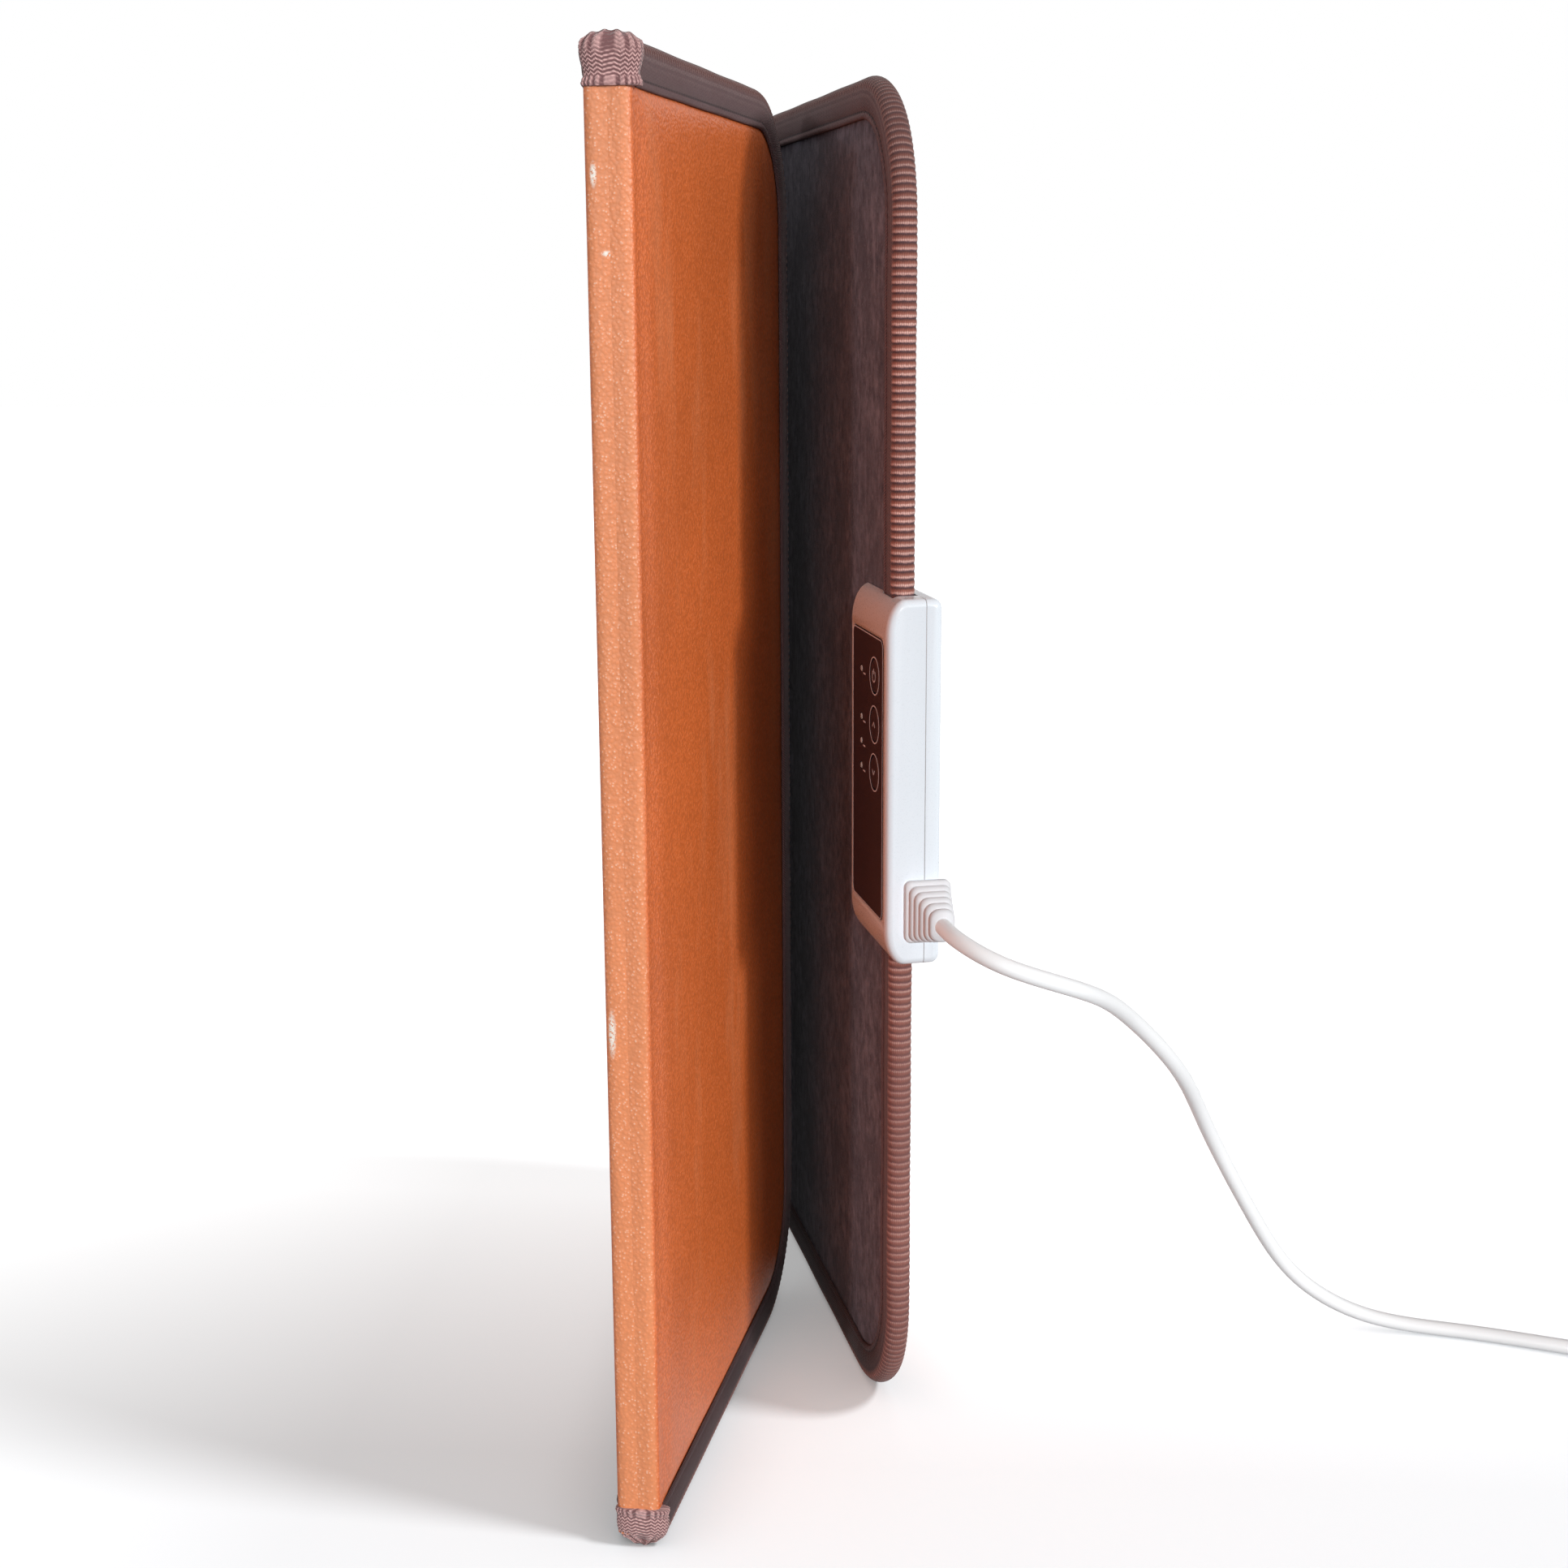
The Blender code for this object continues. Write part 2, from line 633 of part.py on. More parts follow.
def case_cutters(parent):
    """What both shells are cut by, made once: the cavity and the space of the bound panel."""
    low, high = CASE_Z[0] - CLEAR, CASE_Z[1] + CLEAR
    felt_side = FELT[0] - FIT
    tape_side = FELT[0] - TAPE_SEAT - TAPE_WALL - FIT
    mid = PARTING_Y[0] + FIT / 2
    band = -TAPE_WIDTH - FIT
    made = {"cavity": case_solid("case_cavity", CASE_WALL, parent, True)}
    wide = (CASE_X[0] - CLEAR, band)
    narrow = (band - FIT, FIT)
    for end, z in (("bottom", (low, NOTCH_Z[0] + FIT)), ("top", (NOTCH_Z[1] - FIT, high))):
        made[f"felt_{end}"] = box(f"seat_felt_{end}", wide, (felt_side, mid), z, parent, cutter=True)
        made[f"tape_{end}"] = box(f"seat_tape_{end}", narrow, (tape_side, mid), z, parent, cutter=True)
    wall = (CASE_X[0] - CLEAR, -NOTCH_DEPTH + FIT)
    made["felt_side"] = box("seat_felt_side", wall, (felt_side, mid), NOTCH_Z, parent, cutter=True)
    hole_y = (CORD_EXIT[1] - CORD_HOLE[0], CORD_EXIT[1] + CORD_HOLE[0])
    hole_z = (CORD_EXIT[2] - CORD_HOLE[1], CORD_EXIT[2] + CORD_HOLE[1])
    hole_x = (CASE_X[1] - 2 * CASE_WALL, CASE_X[1] + CLEAR)
    made["cord_hole"] = box("cord_hole", hole_x, hole_y, hole_z, parent, cutter=True)
    return made


def parting_block(name, y, parent):
    """A cutter as wide and tall as the housing, over a span of its depth."""
    whole_x = (CASE_X[0] - CLEAR, CASE_X[1] + CLEAR)
    whole_z = (CASE_Z[0] - CLEAR, CASE_Z[1] + CLEAR)
    return box(name, whole_x, y, whole_z, parent, cutter=True)


def make_front_shell(parent, cutters):
    shell = case_solid("controller_front_shell", 0.0, parent, False)
    shell.data.materials.append(MATERIALS["white_plastic"])
    beyond = parting_block("beyond_parting_front", (PARTING_Y[0], CASE_Y[1] + CLEAR), parent)
    boolean(shell, cutters["cavity"])
    for k, (x, z) in enumerate(BOSSES):
        boss = rod(f"front_boss_{k}", x, z, BOSS_RADIUS, (-0.0048, 0.0085), parent)
        boolean(shell, boss, "UNION")
    boolean(shell, beyond)
    for k, (x, z) in enumerate(BOSSES):
        boolean(shell, rod(f"front_pilot_{k}", x, z, 0.00135, (-0.0030, 0.0100), parent, steps=16))
    for name in ("felt_bottom", "felt_top", "tape_bottom", "tape_top", "felt_side", "cord_hole"):
        boolean(shell, cutters[name])
    recess_x = (OVERLAY_X[0] - FIT, OVERLAY_X[1] + FIT)
    recess_z = (OVERLAY_Z[0] - FIT, OVERLAY_Z[1] + FIT)
    outline = rounded(box_corners(recess_x, recess_z, OVERLAY_CORNER), 5)
    recess = prism("overlay_recess", [outline], ACROSS, (CASE_Y[0] - CLEAR, RECESS_Y), None, parent, True)
    boolean(shell, as_mesh(recess))
    for name, z in BUTTON_Z.items():
        boolean(shell, rod(f"{name}_hole", BUTTON_X, z, BUTTON_HOLE, (-0.010, -0.0030), parent))
    for k, z in enumerate(LENS_Z):
        boolean(shell, rod(f"lens_hole_{k}", LENS_X, z, LENS_HOLE, (-0.010, -0.0030), parent, steps=16))


def clamp_outline():
    """A rib round the three sides where the panel enters, as an outline in X and Z."""
    outer, end = 0.0004, -TAPE_WIDTH - 2 * FIT
    left, right = CASE_X[0] + outer, CASE_X[0] + CASE_WALL
    low, high = CASE_Z[0] + outer, CASE_Z[1] - outer
    corners = [(left, low), (end, low), (end, low + 0.0018), (right, low + 0.0018)]
    corners += [(right, high - 0.0018), (end, high - 0.0018), (end, high), (left, high)]
    return [Vector(c) for c in corners]


def make_back_shell(parent, cutters):
    shell = case_solid("controller_back_shell", 0.0, parent, False)
    shell.data.materials.append(MATERIALS["white_plastic"])
    before = parting_block("before_parting_back", (CASE_Y[0] - CLEAR, PARTING_Y[1]), parent)
    boolean(shell, cutters["cavity"])
    for k, (x, z) in enumerate(BOSSES):
        boolean(shell, rod(f"back_boss_{k}", x, z, BOSS_RADIUS + 0.0008, (0.0078, 0.0130), parent), "UNION")
    boolean(shell, before)
    boolean(shell, cutters["cord_hole"])
    clamp_span = (PANEL_THICK + FIT, PARTING_Y[1] + 0.0010)
    clamp = prism("clamp_rib", [clamp_outline()], ACROSS, clamp_span, None, parent, True)
    boolean(shell, as_mesh(clamp), "UNION")
    for k, (x, z) in enumerate(BOSSES):
        boolean(shell, rod(f"screw_hole_{k}", x, z, 0.0016, (0.0070, 0.0150), parent, steps=16))
        boolean(shell, rod(f"screw_recess_{k}", x, z, 0.0030, (0.0108, 0.0160), parent, steps=24))


def make_overlay(parent):
    """The printed front plate, with holes for three buttons and four lights."""
    loops = [rounded(box_corners(OVERLAY_X, OVERLAY_Z, OVERLAY_CORNER), 5)]
    loops += [circle(BUTTON_X, z, BUTTON_HOLE) for z in BUTTON_Z.values()]
    loops += [circle(LENS_X, z, LENS_HOLE, 16) for z in LENS_Z]
    prism("control_overlay", loops, ACROSS, OVERLAY_Y, "maroon_overlay", parent)


def make_buttons(parent):
    """Three round caps, each with a flange behind the shell and a stem over its switch."""
    cap, flange, stem = BUTTON_RADIUS, 0.0073, 0.0020
    front, rim, behind, foot = 0.0067, 0.0061, 0.0030, 0.0006
    profile = [(0, front), (cap - 0.0016, front), (cap - 0.0006, 0.00655), (cap, rim)]
    profile += [(cap, 0.0038), (flange, 0.0038), (flange, behind), (stem, behind), (stem, foot), (0, foot)]
    mesh = turned_mesh("button", profile, 32)
    mesh.materials.append(MATERIALS["maroon_button"])
    for name, z in BUTTON_Z.items():
        place(bpy.data.objects.new(name, mesh), None, parent, (BUTTON_X, 0, z), ACROSS)


def make_lenses(parent):
    """Four clear pins through the overlay, joined by a light bar behind the shell."""
    tip, shoulder, foot = 0.0067, 0.0064, -0.0014
    profile = [(0, tip), (LENS_RADIUS - 0.0004, tip), (LENS_RADIUS, shoulder), (LENS_RADIUS, foot), (0, foot)]
    lens = turned_mesh("lens", profile, 16)
    lenses = copies_of("indicator_lenses", lens, [(LENS_X, 0, z) for z in LENS_Z], "clear_lens", parent)
    bar_x = (LENS_X - 0.0018, LENS_X + 0.0018)
    bar_z = (LENS_Z[-1] - 0.0029, LENS_Z[0] + 0.0029)
    boolean(lenses, box("light_bar", bar_x, (-0.0036, -0.0022), bar_z, parent, cutter=True), "UNION")


def make_electronics(parent):
    """The circuit board with its switches and light chips, and the power parts behind it."""
    corners = box_corners(CIRCUIT_X, CIRCUIT_Z, 0.0015)
    board = as_mesh(prism("circuit_board", [rounded(corners, 3)], ACROSS, CIRCUIT_Y, None, parent))
    board.data.materials.append(MATERIALS["green_board"])
    soldered = CIRCUIT_Y[0] + 0.0004
    for k, z in enumerate(BUTTON_Z.values()):
        body = rod(f"switch_body_{k}", BUTTON_X, z, 0.0030, (0.0009, soldered), parent, steps=8)
        plunger = rod(f"switch_plunger_{k}", BUTTON_X, z, 0.00175, (0.0002, 0.0012), parent, steps=16)
        boolean(board, body, "UNION")
        boolean(board, plunger, "UNION")
    for k, z in enumerate(LENS_Z):
        chip = rod(f"light_chip_{k}", LENS_X, z, 0.0014, (0.0019, soldered), parent, steps=8)
        boolean(board, chip, "UNION")
    triac_x, triac_y, triac_z = (-0.020, -0.010), (0.0047, 0.0092), (0.240, 0.255)
    box("power_triac", triac_x, triac_y, triac_z, parent, "black_plastic", bevel=0.0005)
    radius, half, chamfer = 0.0031, 0.0075, 0.0005
    profile = [(0, half), (radius - chamfer, half), (radius, half - chamfer)]
    profile += [(r, -h) for r, h in reversed(profile)]
    can = turned_mesh("can", profile, 16)
    can.materials.append(MATERIALS["black_plastic"])
    place(bpy.data.objects.new("supply_capacitor", can), None, parent, (-0.014, 0.0082, 0.275), FLAT)
    ribbon = [(-0.0357, 0.0014), (-0.0335, 0.0014), (-0.0305, 0.0034), (-0.0278, 0.0034)]
    outline = [Vector(p) for p in ribbon] + [Vector((x, y + 0.0005)) for x, y in reversed(ribbon)]
    prism("film_lead_pair", [outline], FLAT, (0.232, 0.242), "black_film", parent)


def make_fasteners(parent):
    """Four short screws, sunk in the back shell and cut into the front shell's posts."""
    head, shank = 0.0026, 0.0010
    profile = [(0, 0.0008), (head - 0.0006, 0.0006), (head, 0), (head, -0.0009)]
    profile += [(shank, -0.0009), (shank, -0.0098), (0, -0.0104)]
    screw = turned_mesh("screw", profile, 16)
    screw.materials.append(MATERIALS["steel"])
    for k, (x, z) in enumerate(BOSSES):
        made = bpy.data.objects.new(f"case_screw_{k + 1}", screw)
        place(made, None, parent, (x, 0.0120, z), (-math.pi / 2, 0.0, 0.0))


def make_strain_relief(parent):
    """A flange inside the case, a square collar on its side, and five ribs tapering to the cord."""
    centre = CORD_EXIT[1:]
    sections = [
        (0.0063, 0.0030, 0.0080, 0.0010),
        (0.0085, 0.0030, 0.0080, 0.0010),
        (0.0085, 0.0029, 0.0056, 0.0010),
        (0.0113, 0.0033, 0.0056, 0.0010),
        (0.0113, 0.0080, 0.0109, 0.0025),
        (0.0118, 0.0085, 0.01135, 0.0025),
        (0.0138, 0.0085, 0.01135, 0.0025),
        (0.0143, 0.0080, 0.0108, 0.0025),
    ]
    ribs, first, last = 5, 0.0143, CORD_EXIT[0] - FIT
    pitch = (last - first) / ribs
    for k in range(ribs):
        share = k / (ribs - 1)
        half_y, half_z = 0.00775 - 0.0030 * share, 0.01025 - 0.00425 * share
        start = first + k * pitch
        core_y, core_z = half_y - 0.0014, half_z - 0.0016
        corner = 0.0030 + 0.0008 * share
        sections += [
            (start + 0.0004, core_y, core_z, corner - 0.0008),
            (start + 0.30 * pitch, core_y, core_z, corner - 0.0008),
            (start + 0.42 * pitch, half_y, half_z, corner),
            (start + 0.88 * pitch, half_y - 0.0003, half_z - 0.0003, corner),
            (start + pitch, half_y - 0.0009, half_z - 0.0009, corner),
        ]
    loft("strain_relief", sections, centre, "white_vinyl", parent)


def make_controller(frames):
    parent = frames["controller"]
    cutters = case_cutters(parent)
    make_front_shell(parent, cutters)
    make_back_shell(parent, cutters)
    make_overlay(parent)
    make_buttons(parent)
    make_lenses(parent)
    make_electronics(parent)
    make_fasteners(parent)
    make_strain_relief(parent)


# Cord, coil, tie and plug, in the object's own frame


def coil_centre():
    """The coil turns clockwise, so its centre lies to the right of the cord that arrives."""
    right = COIL_HEADING - math.pi / 2
    return Vector(COIL_START) + COIL_RADIUS * Vector((math.cos(right), math.sin(right)))


def coil_radius(turns):
    """Distance from the coil's centre after some turns: in at a steady rate, then out again."""
    whole = COIL_STEPS / COIL_POINTS_A_TURN
    return COIL_RADIUS - COIL_PITCH * min(turns, whole - turns)


def coil_point(turns):
    """A point of the coil. It climbs to its upper layer in the half turn where it reverses."""
    whole = COIL_STEPS / COIL_POINTS_A_TURN
    centre, angle = coil_centre(), COIL_HEADING + math.pi / 2 - 2 * math.pi * turns
    share = min(max((turns - whole / 2 + 0.25) / 0.5, 0.0), 1.0)
    climb = share * share * (3 - 2 * share)
    radius = coil_radius(turns)
    z = COIL_LAYERS_Z[0] + (COIL_LAYERS_Z[1] - COIL_LAYERS_Z[0]) * climb
    return Vector((centre.x + radius * math.cos(angle), centre.y + radius * math.sin(angle), z))


def coil_line():
    """The coil's points, with its straight ends; also the place and heading of its far end."""
    turns = [coil_point(k / COIL_POINTS_A_TURN) for k in range(COIL_STEPS + 1)]
    first = Vector((math.cos(COIL_HEADING), math.sin(COIL_HEADING), 0))
    out_angle = COIL_HEADING - 2 * math.pi * COIL_STEPS / COIL_POINTS_A_TURN
    last = Vector((math.cos(out_angle), math.sin(out_angle), 0))
    drop = Vector((0, 0, -0.0016))
    leaving = [turns[-1] + last * COIL_EXIT_RUN * share + drop * share**2 for share in (0.35, 0.75)]
    end = turns[-1] + last * COIL_EXIT_RUN + drop
    straight = [end - last * FIT, end + last * CORD_DIAMETER]
    arriving = [turns[0] - first * (CORD_DIAMETER + 0.0020)]
    return [*arriving, *turns, *leaving, *straight], straight[-1], last


def least_gap(points, diameter):
    """The least gap of a winding to itself, measured between points well apart along it."""
    line = np.array(points)
    steps = np.linalg.norm(np.diff(line, axis=0), axis=1)
    count = np.maximum(1, np.ceil(steps / 0.001).astype(int))
    shares = [np.linspace(0, 1, n, endpoint=False)[:, None] for n in count]
    fine = np.vstack([a + (b - a) * share for a, b, share in zip(line, line[1:], shares)])
    along = np.concatenate([[0], np.cumsum(np.linalg.norm(np.diff(fine, axis=0), axis=1))])
    apart = np.linalg.norm(fine[:, None] - fine[None], axis=2)
    near = np.abs(along[:, None] - along[None]) < 8 * diameter
    return float(np.where(near, np.inf, apart).min() - diameter)


def make_tie():
    """A flat band round the coil's bundle, square to its turns."""
    whole = COIL_STEPS / COIL_POINTS_A_TURN
    radii = [coil_radius(TIE_TURNS + k) for k in range(int(whole - TIE_TURNS) + 1)]
    centre, angle = coil_centre(), COIL_HEADING + math.pi / 2 - 2 * math.pi * TIE_TURNS
    half, sag = CORD_DIAMETER / 2, 0.0008
    inner_u = (min(radii) - half - sag, max(radii) + half + 0.0005)
    inner_w = (COIL_LAYERS_Z[0] - half - FIT, COIL_LAYERS_Z[1] + half + FIT)
    outer_u = (inner_u[0] - TIE_WALL, inner_u[1] + TIE_WALL)
    outer_w = (inner_w[0] - TIE_WALL, inner_w[1] + TIE_WALL)
    loops = [rounded(box_corners(outer_u, outer_w, 0.0030), 4)]
    loops += [rounded(box_corners(inner_u, inner_w, 0.0022), 4)]
    tie = prism("cord_tie", loops, ACROSS, (-TIE_WIDTH / 2, TIE_WIDTH / 2), "black_plastic")
    tie.location = (centre.x, centre.y, 0)
    tie.rotation_euler = (math.pi / 2, 0, angle)


def make_plug(end, heading):
    frame = make_frame("plug_frame", None, end + heading * FIT, math.atan2(heading.y, heading.x))
    sections = [(0.0, 0.0042, 0.0042, 0.0030), (0.0006, 0.0046, 0.0046, 0.0032)]
    for k in range(3):
        start, wide = 0.0012 + 0.0046 * k, 0.0050 + 0.0008 * k
        sections += [
            (start, wide, wide, 0.0034),
            (start + 0.0024, wide + 0.0002, wide + 0.0002, 0.0034),
            (start + 0.0028, wide - 0.0012, wide - 0.0012, 0.0030),
            (start + 0.0042, wide - 0.0010, wide - 0.0010, 0.0030),
        ]
    sections += [
        (0.0150, 0.0078, 0.0070, 0.0040),
        (0.0200, 0.0112, 0.0088, 0.0044),
        (0.0280, 0.0122, 0.0090, 0.0044),
        (0.0390, 0.0118, 0.0088, 0.0042),
        (0.0420, 0.0126, 0.0091, 0.0040),
        (0.0450, 0.0126, 0.0091, 0.0040),
        (0.0460, 0.0118, 0.0083, 0.0034),
    ]
    loft("plug_body", sections, (0.0, 0.0), "white_vinyl", frame)
    half_gap, half_thick = 0.00635, 0.00075
    start = 0.0460 + FIT
    outline = [(start, -0.0032, 0), (start + 0.0170, -0.0032, 0.0018), (start + 0.0170, 0.0032, 0.0018)]
    outline += [(start, 0.0032, 0)]
    loops = [rounded(outline, 3), circle(start + 0.0125, 0, 0.0016, 12)]
    for name, y in (("plug_blade_left", half_gap), ("plug_blade_right", -half_gap)):
        prism(name, loops, ACROSS, (y - half_thick, y + half_thick), "brass", frame)


def make_cord(frames):
    bpy.context.view_layer.update()
    frame = frames["controller"].matrix_world
    start = frame @ Vector(CORD_EXIT)
    out = (frame.to_3x3() @ Vector((1, 0, 0))).normalized()
    coil, far_end, heading = coil_line()
    arriving = (coil[1] - coil[0]).normalized()
    finish = coil[0] - arriving * FIT
    guides = [start + out * CORD_STRAIGHT, start + out * CORD_LEAD, *(Vector(p) for p in CORD_GUIDES)]
    guides += [finish - arriving * CORD_LANDING, finish]
    line = np.vstack([np.array(start)[None], smooth_route(guides, CORD_STEP)])
    tube("power_cord", line, CORD_DIAMETER, 2, "white_vinyl")
    tube("cord_coil", coil, CORD_DIAMETER, 1, "white_vinyl")
    free = float(np.linalg.norm(np.diff(line, axis=0), axis=1).sum())
    wound = float(sum((b - a).length for a, b in zip(coil, coil[1:])))
    print(f"free cord {free:.3f} m, coil {wound:.3f} m, together {free + wound:.3f} m")
    print(f"least gap of the coil to itself {1000 * least_gap(coil, CORD_DIAMETER):.2f} mm")
    make_tie()
    make_plug(far_end, heading)


def main():
    frames = make_frames()
    make_left_wing(frames)
    make_back_panel(frames)
    make_right_wing(frames)
    make_spine("left", frames["left_spine"], LEFT_SPINE, -1)
    make_spine("right", frames["right_spine"], RIGHT_SPINE, 1)
    make_controller(frames)
    make_cord(frames)


main()
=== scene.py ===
# %% [markdown]
# An under desk heater that folds: three thin padded panels, leather outside and felt inside,
# bound with brown woven tape and joined by two soft spines. A white controller is clipped
# over the edge of the right wing, and its cord runs down to the floor.
#
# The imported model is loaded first, as a fixed frame. Every piece below is worked out in the
# same metres and the same axes, so that it lands on the solid that it stands for.

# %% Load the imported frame
import math

import bmesh
import bpy
import numpy as np
from mathutils import Matrix, Vector


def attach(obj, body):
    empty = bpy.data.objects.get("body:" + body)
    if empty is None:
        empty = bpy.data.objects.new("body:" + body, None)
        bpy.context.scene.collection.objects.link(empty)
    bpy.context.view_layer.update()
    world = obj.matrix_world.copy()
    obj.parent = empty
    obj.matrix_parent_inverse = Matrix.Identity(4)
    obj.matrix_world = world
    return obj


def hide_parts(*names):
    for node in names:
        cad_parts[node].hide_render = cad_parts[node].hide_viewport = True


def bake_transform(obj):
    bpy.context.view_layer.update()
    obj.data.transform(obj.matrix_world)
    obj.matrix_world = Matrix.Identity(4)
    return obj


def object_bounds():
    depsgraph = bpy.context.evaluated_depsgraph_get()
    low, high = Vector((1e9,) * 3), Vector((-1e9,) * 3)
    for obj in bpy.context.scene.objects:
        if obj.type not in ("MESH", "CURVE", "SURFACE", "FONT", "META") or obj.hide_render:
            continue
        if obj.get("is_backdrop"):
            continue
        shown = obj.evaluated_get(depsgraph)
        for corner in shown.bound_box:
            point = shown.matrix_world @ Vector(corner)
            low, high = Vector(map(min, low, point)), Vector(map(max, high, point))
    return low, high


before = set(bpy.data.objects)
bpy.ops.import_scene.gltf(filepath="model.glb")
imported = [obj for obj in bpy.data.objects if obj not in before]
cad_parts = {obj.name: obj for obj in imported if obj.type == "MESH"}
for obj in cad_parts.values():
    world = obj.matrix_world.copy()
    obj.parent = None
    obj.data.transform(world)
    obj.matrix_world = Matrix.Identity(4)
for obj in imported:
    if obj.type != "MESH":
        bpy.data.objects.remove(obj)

cad_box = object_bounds()
print("packed model:", [round(b - a, 4) for a, b in zip(*cad_box)], "m")

# %% [markdown]
# The photograph was taken from close by, a little above the middle of the heater, looking
# along the two wings. A camera can be set by eye until the edges agree. Here its place and
# its three axes came from lining up the corners of the controller and the panels, and they
# are written straight into the camera's matrix.

# %% Camera
MM = 0.001
CAMERA_AT = (-0.8318, -0.1100, 0.4230)
LOOKING = (0.97285, 0.07759, -0.21803)
RIGHTWARD = (0.07826, -0.99692, -0.00556)
UPWARD = (0.21779, 0.01165, 0.97593)
camera = bpy.data.objects.new("camera", bpy.data.cameras.new("camera"))
bpy.context.scene.collection.objects.link(camera)
camera.data.sensor_width = 36.0
camera.data.lens = 49.87
axes = Matrix((RIGHTWARD, UPWARD, [-c for c in LOOKING])).transposed()
camera.matrix_world = Matrix.Translation(CAMERA_AT) @ axes.to_4x4()
bpy.context.scene.camera = camera
print("camera lens", camera.data.lens, "mm")

# %% [markdown]
# The panels and spines stand on fold lines. A fold line is a point in plan and a turn about
# the upright axis, so each panel gets a small frame: its X runs along the panel, its Y is 0
# on the leather's face and falls towards the felt's face, and its Z is the height.

# %% Frames of the panels, the spines and the controller
HEIGHT, THICK = 500 * MM, 6.2 * MM
BACK_WIDTH, LEFT_WIDTH, RIGHT_WIDTH = 308 * MM, 218 * MM, 240 * MM
SETBACK = 4.2 * MM
LEFT_SPINE, RIGHT_SPINE = 14.8 * MM, 30.4 * MM
LEFT_FOLD, RIGHT_FOLD = 86.23, 81.85


def turned_frame(x, y, degrees):
    """A frame at (x, y) turned about Z: its origin, and its axes as the rows of a matrix."""
    c, s = math.cos(math.radians(degrees)), math.sin(math.radians(degrees))
    return np.array([x, y, 0.0]), np.array([[c, s, 0.0], [-s, c, 0.0], [0.0, 0.0, 1.0]])


def further(place, distance, degrees):
    """The frame that a fold leads to: its origin some distance along the first one's X, and its own
    turn in degrees."""
    x, y, _ = place[0] + distance * place[1][0]
    return turned_frame(x, y, degrees)


def in_row(place, points):
    """Points given in a frame, as points of the whole scene: the origin plus each number times its axis."""
    return place[0] + np.asarray(points, float) @ place[1]


BACK = turned_frame(-BACK_WIDTH / 2 - SETBACK, THICK / 2, 0.0)
SPINE_L = turned_frame(-BACK_WIDTH / 2 - SETBACK, THICK / 2, LEFT_FOLD)
WING_L = further(SPINE_L, -LEFT_SPINE, 2 * LEFT_FOLD)
SPINE_R = turned_frame(BACK_WIDTH / 2 + SETBACK, THICK / 2, -RIGHT_FOLD)
WING_R = further(SPINE_R, RIGHT_SPINE, -2 * RIGHT_FOLD)
CASE = (in_row(WING_R, [SETBACK + RIGHT_WIDTH, -THICK, 0.0]), WING_R[1])
print("controller frame at", CASE[0].round(5))

# %% [markdown]
# Almost every new piece is a grid of points. The grid is worked out with numpy as one array,
# its faces are found by counting, and both go into the mesh in one step. Where a grid comes
# back to itself or shrinks to a point, the doubled points are merged, so that the shell is
# closed, and then its faces are turned outwards.

# %% Grids into meshes
POINT_GAP, EDGE_GAP = 1e-6, 1e-7  # nearer points are one, and shorter edges are none, in metres


def mesh_from(name, points, faces, uv=None, closed=False, facing=None, smooth=35.0, extra=()):
    """A mesh object from an array of points and an array of quads.
    uv holds a pair in metres for each point; extra holds more faces as lists of indices.
    facing is a direction that an open sheet's faces should look towards. An open sheet's rim is
    marked sharp, so that the wall it gets later doesn't shade the face beside it."""
    if facing is not None:
        a, b, c = (points[faces[:, k]] for k in (0, 1, 2))
        if (np.cross(b - a, c - a).sum(0) @ np.asarray(facing)) < 0:
            faces = faces[:, ::-1]
    corners = np.concatenate([faces.ravel(), *(np.asarray(f) for f in extra)]).astype(np.int32)
    totals = np.concatenate([np.full(len(faces), 4), [len(f) for f in extra]]).astype(np.int32)
    starts = np.concatenate([[0], np.cumsum(totals)[:-1]]).astype(np.int32)
    mesh = bpy.data.meshes.new(name)
    mesh.vertices.add(len(points))
    mesh.vertices.foreach_set("co", np.ascontiguousarray(points, np.float32).ravel())
    mesh.loops.add(len(corners))
    mesh.loops.foreach_set("vertex_index", corners)
    mesh.polygons.add(len(totals))
    mesh.polygons.foreach_set("loop_start", starts)
    mesh.update(calc_edges=True)
    if uv is not None:
        layer = mesh.uv_layers.new(name="cloth")
        layer.data.foreach_set("uv", np.asarray(uv, np.float32)[corners].ravel())
    if closed:
        work = bmesh.new()
        work.from_mesh(mesh)
        bmesh.ops.remove_doubles(work, verts=work.verts, dist=POINT_GAP)
        bmesh.ops.dissolve_degenerate(work, edges=work.edges, dist=EDGE_GAP)
        bmesh.ops.recalc_face_normals(work, faces=work.faces)
        work.to_mesh(mesh)
        work.free()
    mesh.shade_smooth()
    mesh.set_sharp_from_angle(angle=math.radians(smooth))
    if not closed:
        edge_of, sharp = np.empty(len(mesh.loops), np.int32), np.empty(len(mesh.edges), bool)
        mesh.loops.foreach_get("edge_index", edge_of)
        mesh.edges.foreach_get("use_edge_sharp", sharp)
        rim = np.bincount(edge_of, minlength=len(sharp)) == 1
        mesh.edges.foreach_set("use_edge_sharp", sharp | rim)
    made = bpy.data.objects.new(name, mesh)
    bpy.context.scene.collection.objects.link(made)
    return made


def grid_piece(name, grid, uv=None, keep=None, **options):
    """A mesh object from a grid of points, rows by columns by 3. keep is a mask of its quads."""
    rows, columns = grid.shape[:2]
    index = np.arange(rows * columns).reshape(rows, columns)
    quads = np.stack([index[:-1, :-1], index[1:, :-1], index[1:, 1:], index[:-1, 1:]], -1)
    quads = quads.reshape(-1, 4) if keep is None else quads[keep]
    pairs = None if uv is None else uv.reshape(-1, 2)
    return mesh_from(name, grid.reshape(-1, 3), quads, pairs, **options)


